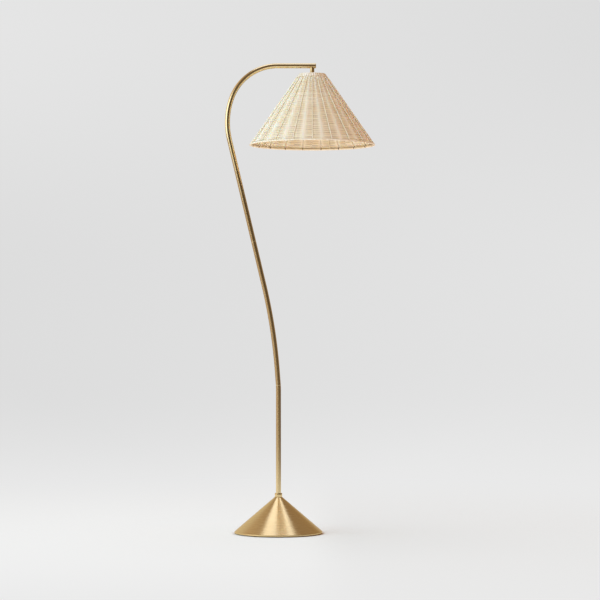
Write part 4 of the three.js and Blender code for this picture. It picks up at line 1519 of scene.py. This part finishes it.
def hollowStakeDepth(down, radius):
    return radius - between(stakes["proud"], downShare(down))


makeWeave()
makeStakes("ridgeStakes", weave["firstRidge"], ridgeStakeDepth)
makeStakes("hollowStakes", weave["firstRidge"] + 180 / weave["pairs"], hollowStakeDepth)
print("stakes made")


# Bindings: a flat strip of peel wound round each rim

bindings = {
    # wraps round the rim, depth and painted shade of the grooves between them, slant and place of a wrap in
    # wraps, and one in how many grooves is deep
    "topBinding": {"wraps": 40, "groove": 0.8, "dark": 0.7, "slant": 0.15, "first": 0.42, "deep": 1,
                   "node": "top_binding"},
    "bottomBinding": {"wraps": 240, "groove": 0.4, "dark": 0.15, "slant": 0.8, "first": 0.0, "deep": 12,
                      "node": "bottom_binding"},
}
strip = {
    "depths": (0.5, 1),  # shares of a binding's groove, from the shallowest to the deepest
    "deep": 1.6,  # times that for its deep ones
    "narrow": 4,  # how close a groove keeps to the strip's edge
    "width": 4.0,
    "grainShift": 0.61,
    "inRound": 0.6,
    "outRound": 0.9,
    "edge": 2.0,  # longest edge of the mesh across the rim
    "steps": 8,  # in a wrap
}


def makeBinding(name):
    b = bindings[name]
    chance = random.Random(name)
    low, high = span(b["node"])
    inset = cone["thickness"] / math.cos(coneTilt)
    tones = [chance.random() for _ in range(b["wraps"])]
    depths = [chance.uniform(*strip["depths"]) for _ in range(b["wraps"])]
    section = subdivided(softened([
        (rimRadius(low) - inset, low, strip["inRound"]),
        (rimRadius(low), low, strip["outRound"]),
        (rimRadius(high), high, strip["outRound"]),
        (rimRadius(high) - inset, high, strip["inRound"]),
    ], 3), strip["edge"])
    middle = sum(section, Vector((0, 0))) / len(section)
    steps = b["wraps"] * strip["steps"]
    rings = []
    places = []
    looks = []
    for step in range(steps):
        angle = fullTurn * step / steps
        ring = []
        girth = 0.0
        before = section[-1]
        for place in section:
            girth += (place - before).length
            before = place
            height = (place.y - low) / (high - low)
            inside = place.x < rimRadius(place.y) - inset / 2
            wrapPlace = b["wraps"] * angle / fullTurn + b["first"]
            wrapPlace += b["slant"] * (2 - height if inside else height)
            wrap = math.floor(wrapPlace) % b["wraps"]
            share = wrapPlace % 1
            nearest = round(wrapPlace) % b["wraps"]
            deep = strip["deep"] if nearest % b["deep"] == 0 else 1
            crown = abs(2 * share - 1) ** strip["narrow"] * depths[nearest] * deep
            spot = place - (place - middle).normalized() * b["groove"] * crown
            ring.append(polar(angle, spot.x, spot.y, hang))
            places += [girth * mm, (share - 0.5) * strip["width"] * mm, wrap * strip["grainShift"]]
            # painted shade, deepest in the grooves between the wraps
            looks += [tones[wrap], 0.0, min(1, crown * b["dark"])]
        rings.append(ring)
    mesh = newMesh(name, skin(rings, joinEnds=True))
    setStrand(mesh, places, looks)
    cleanMesh(mesh)
    placePiece(mesh, rattanPeel, "shade", b["node"])


for name in bindings:
    makeBinding(name)
print("bindings made")


# Finishes of the pieces that stay as they are, inside the base, the pole and the holder
finishes = [
    (castIron, ["base_weight"]),
    (zincSteel, ["bottom_plate", "base_nipple", "base_washer", "base_nut", "foot_insert", "drop_nipple",
                 "cup_nut", "lower_joint_socket", "lower_joint_stud", "upper_joint_socket",
                 "upper_joint_stud", "plate_screw_1", "plate_screw_2", "plate_screw_3"]),
    (phenolic, ["inner_lead"]),
    (porcelain, ["terminal_block"]),
]
for material, nodes in finishes:
    for node in nodes:
        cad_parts[node].data.materials.clear()
        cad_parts[node].data.materials.append(material)
print("finishes set")
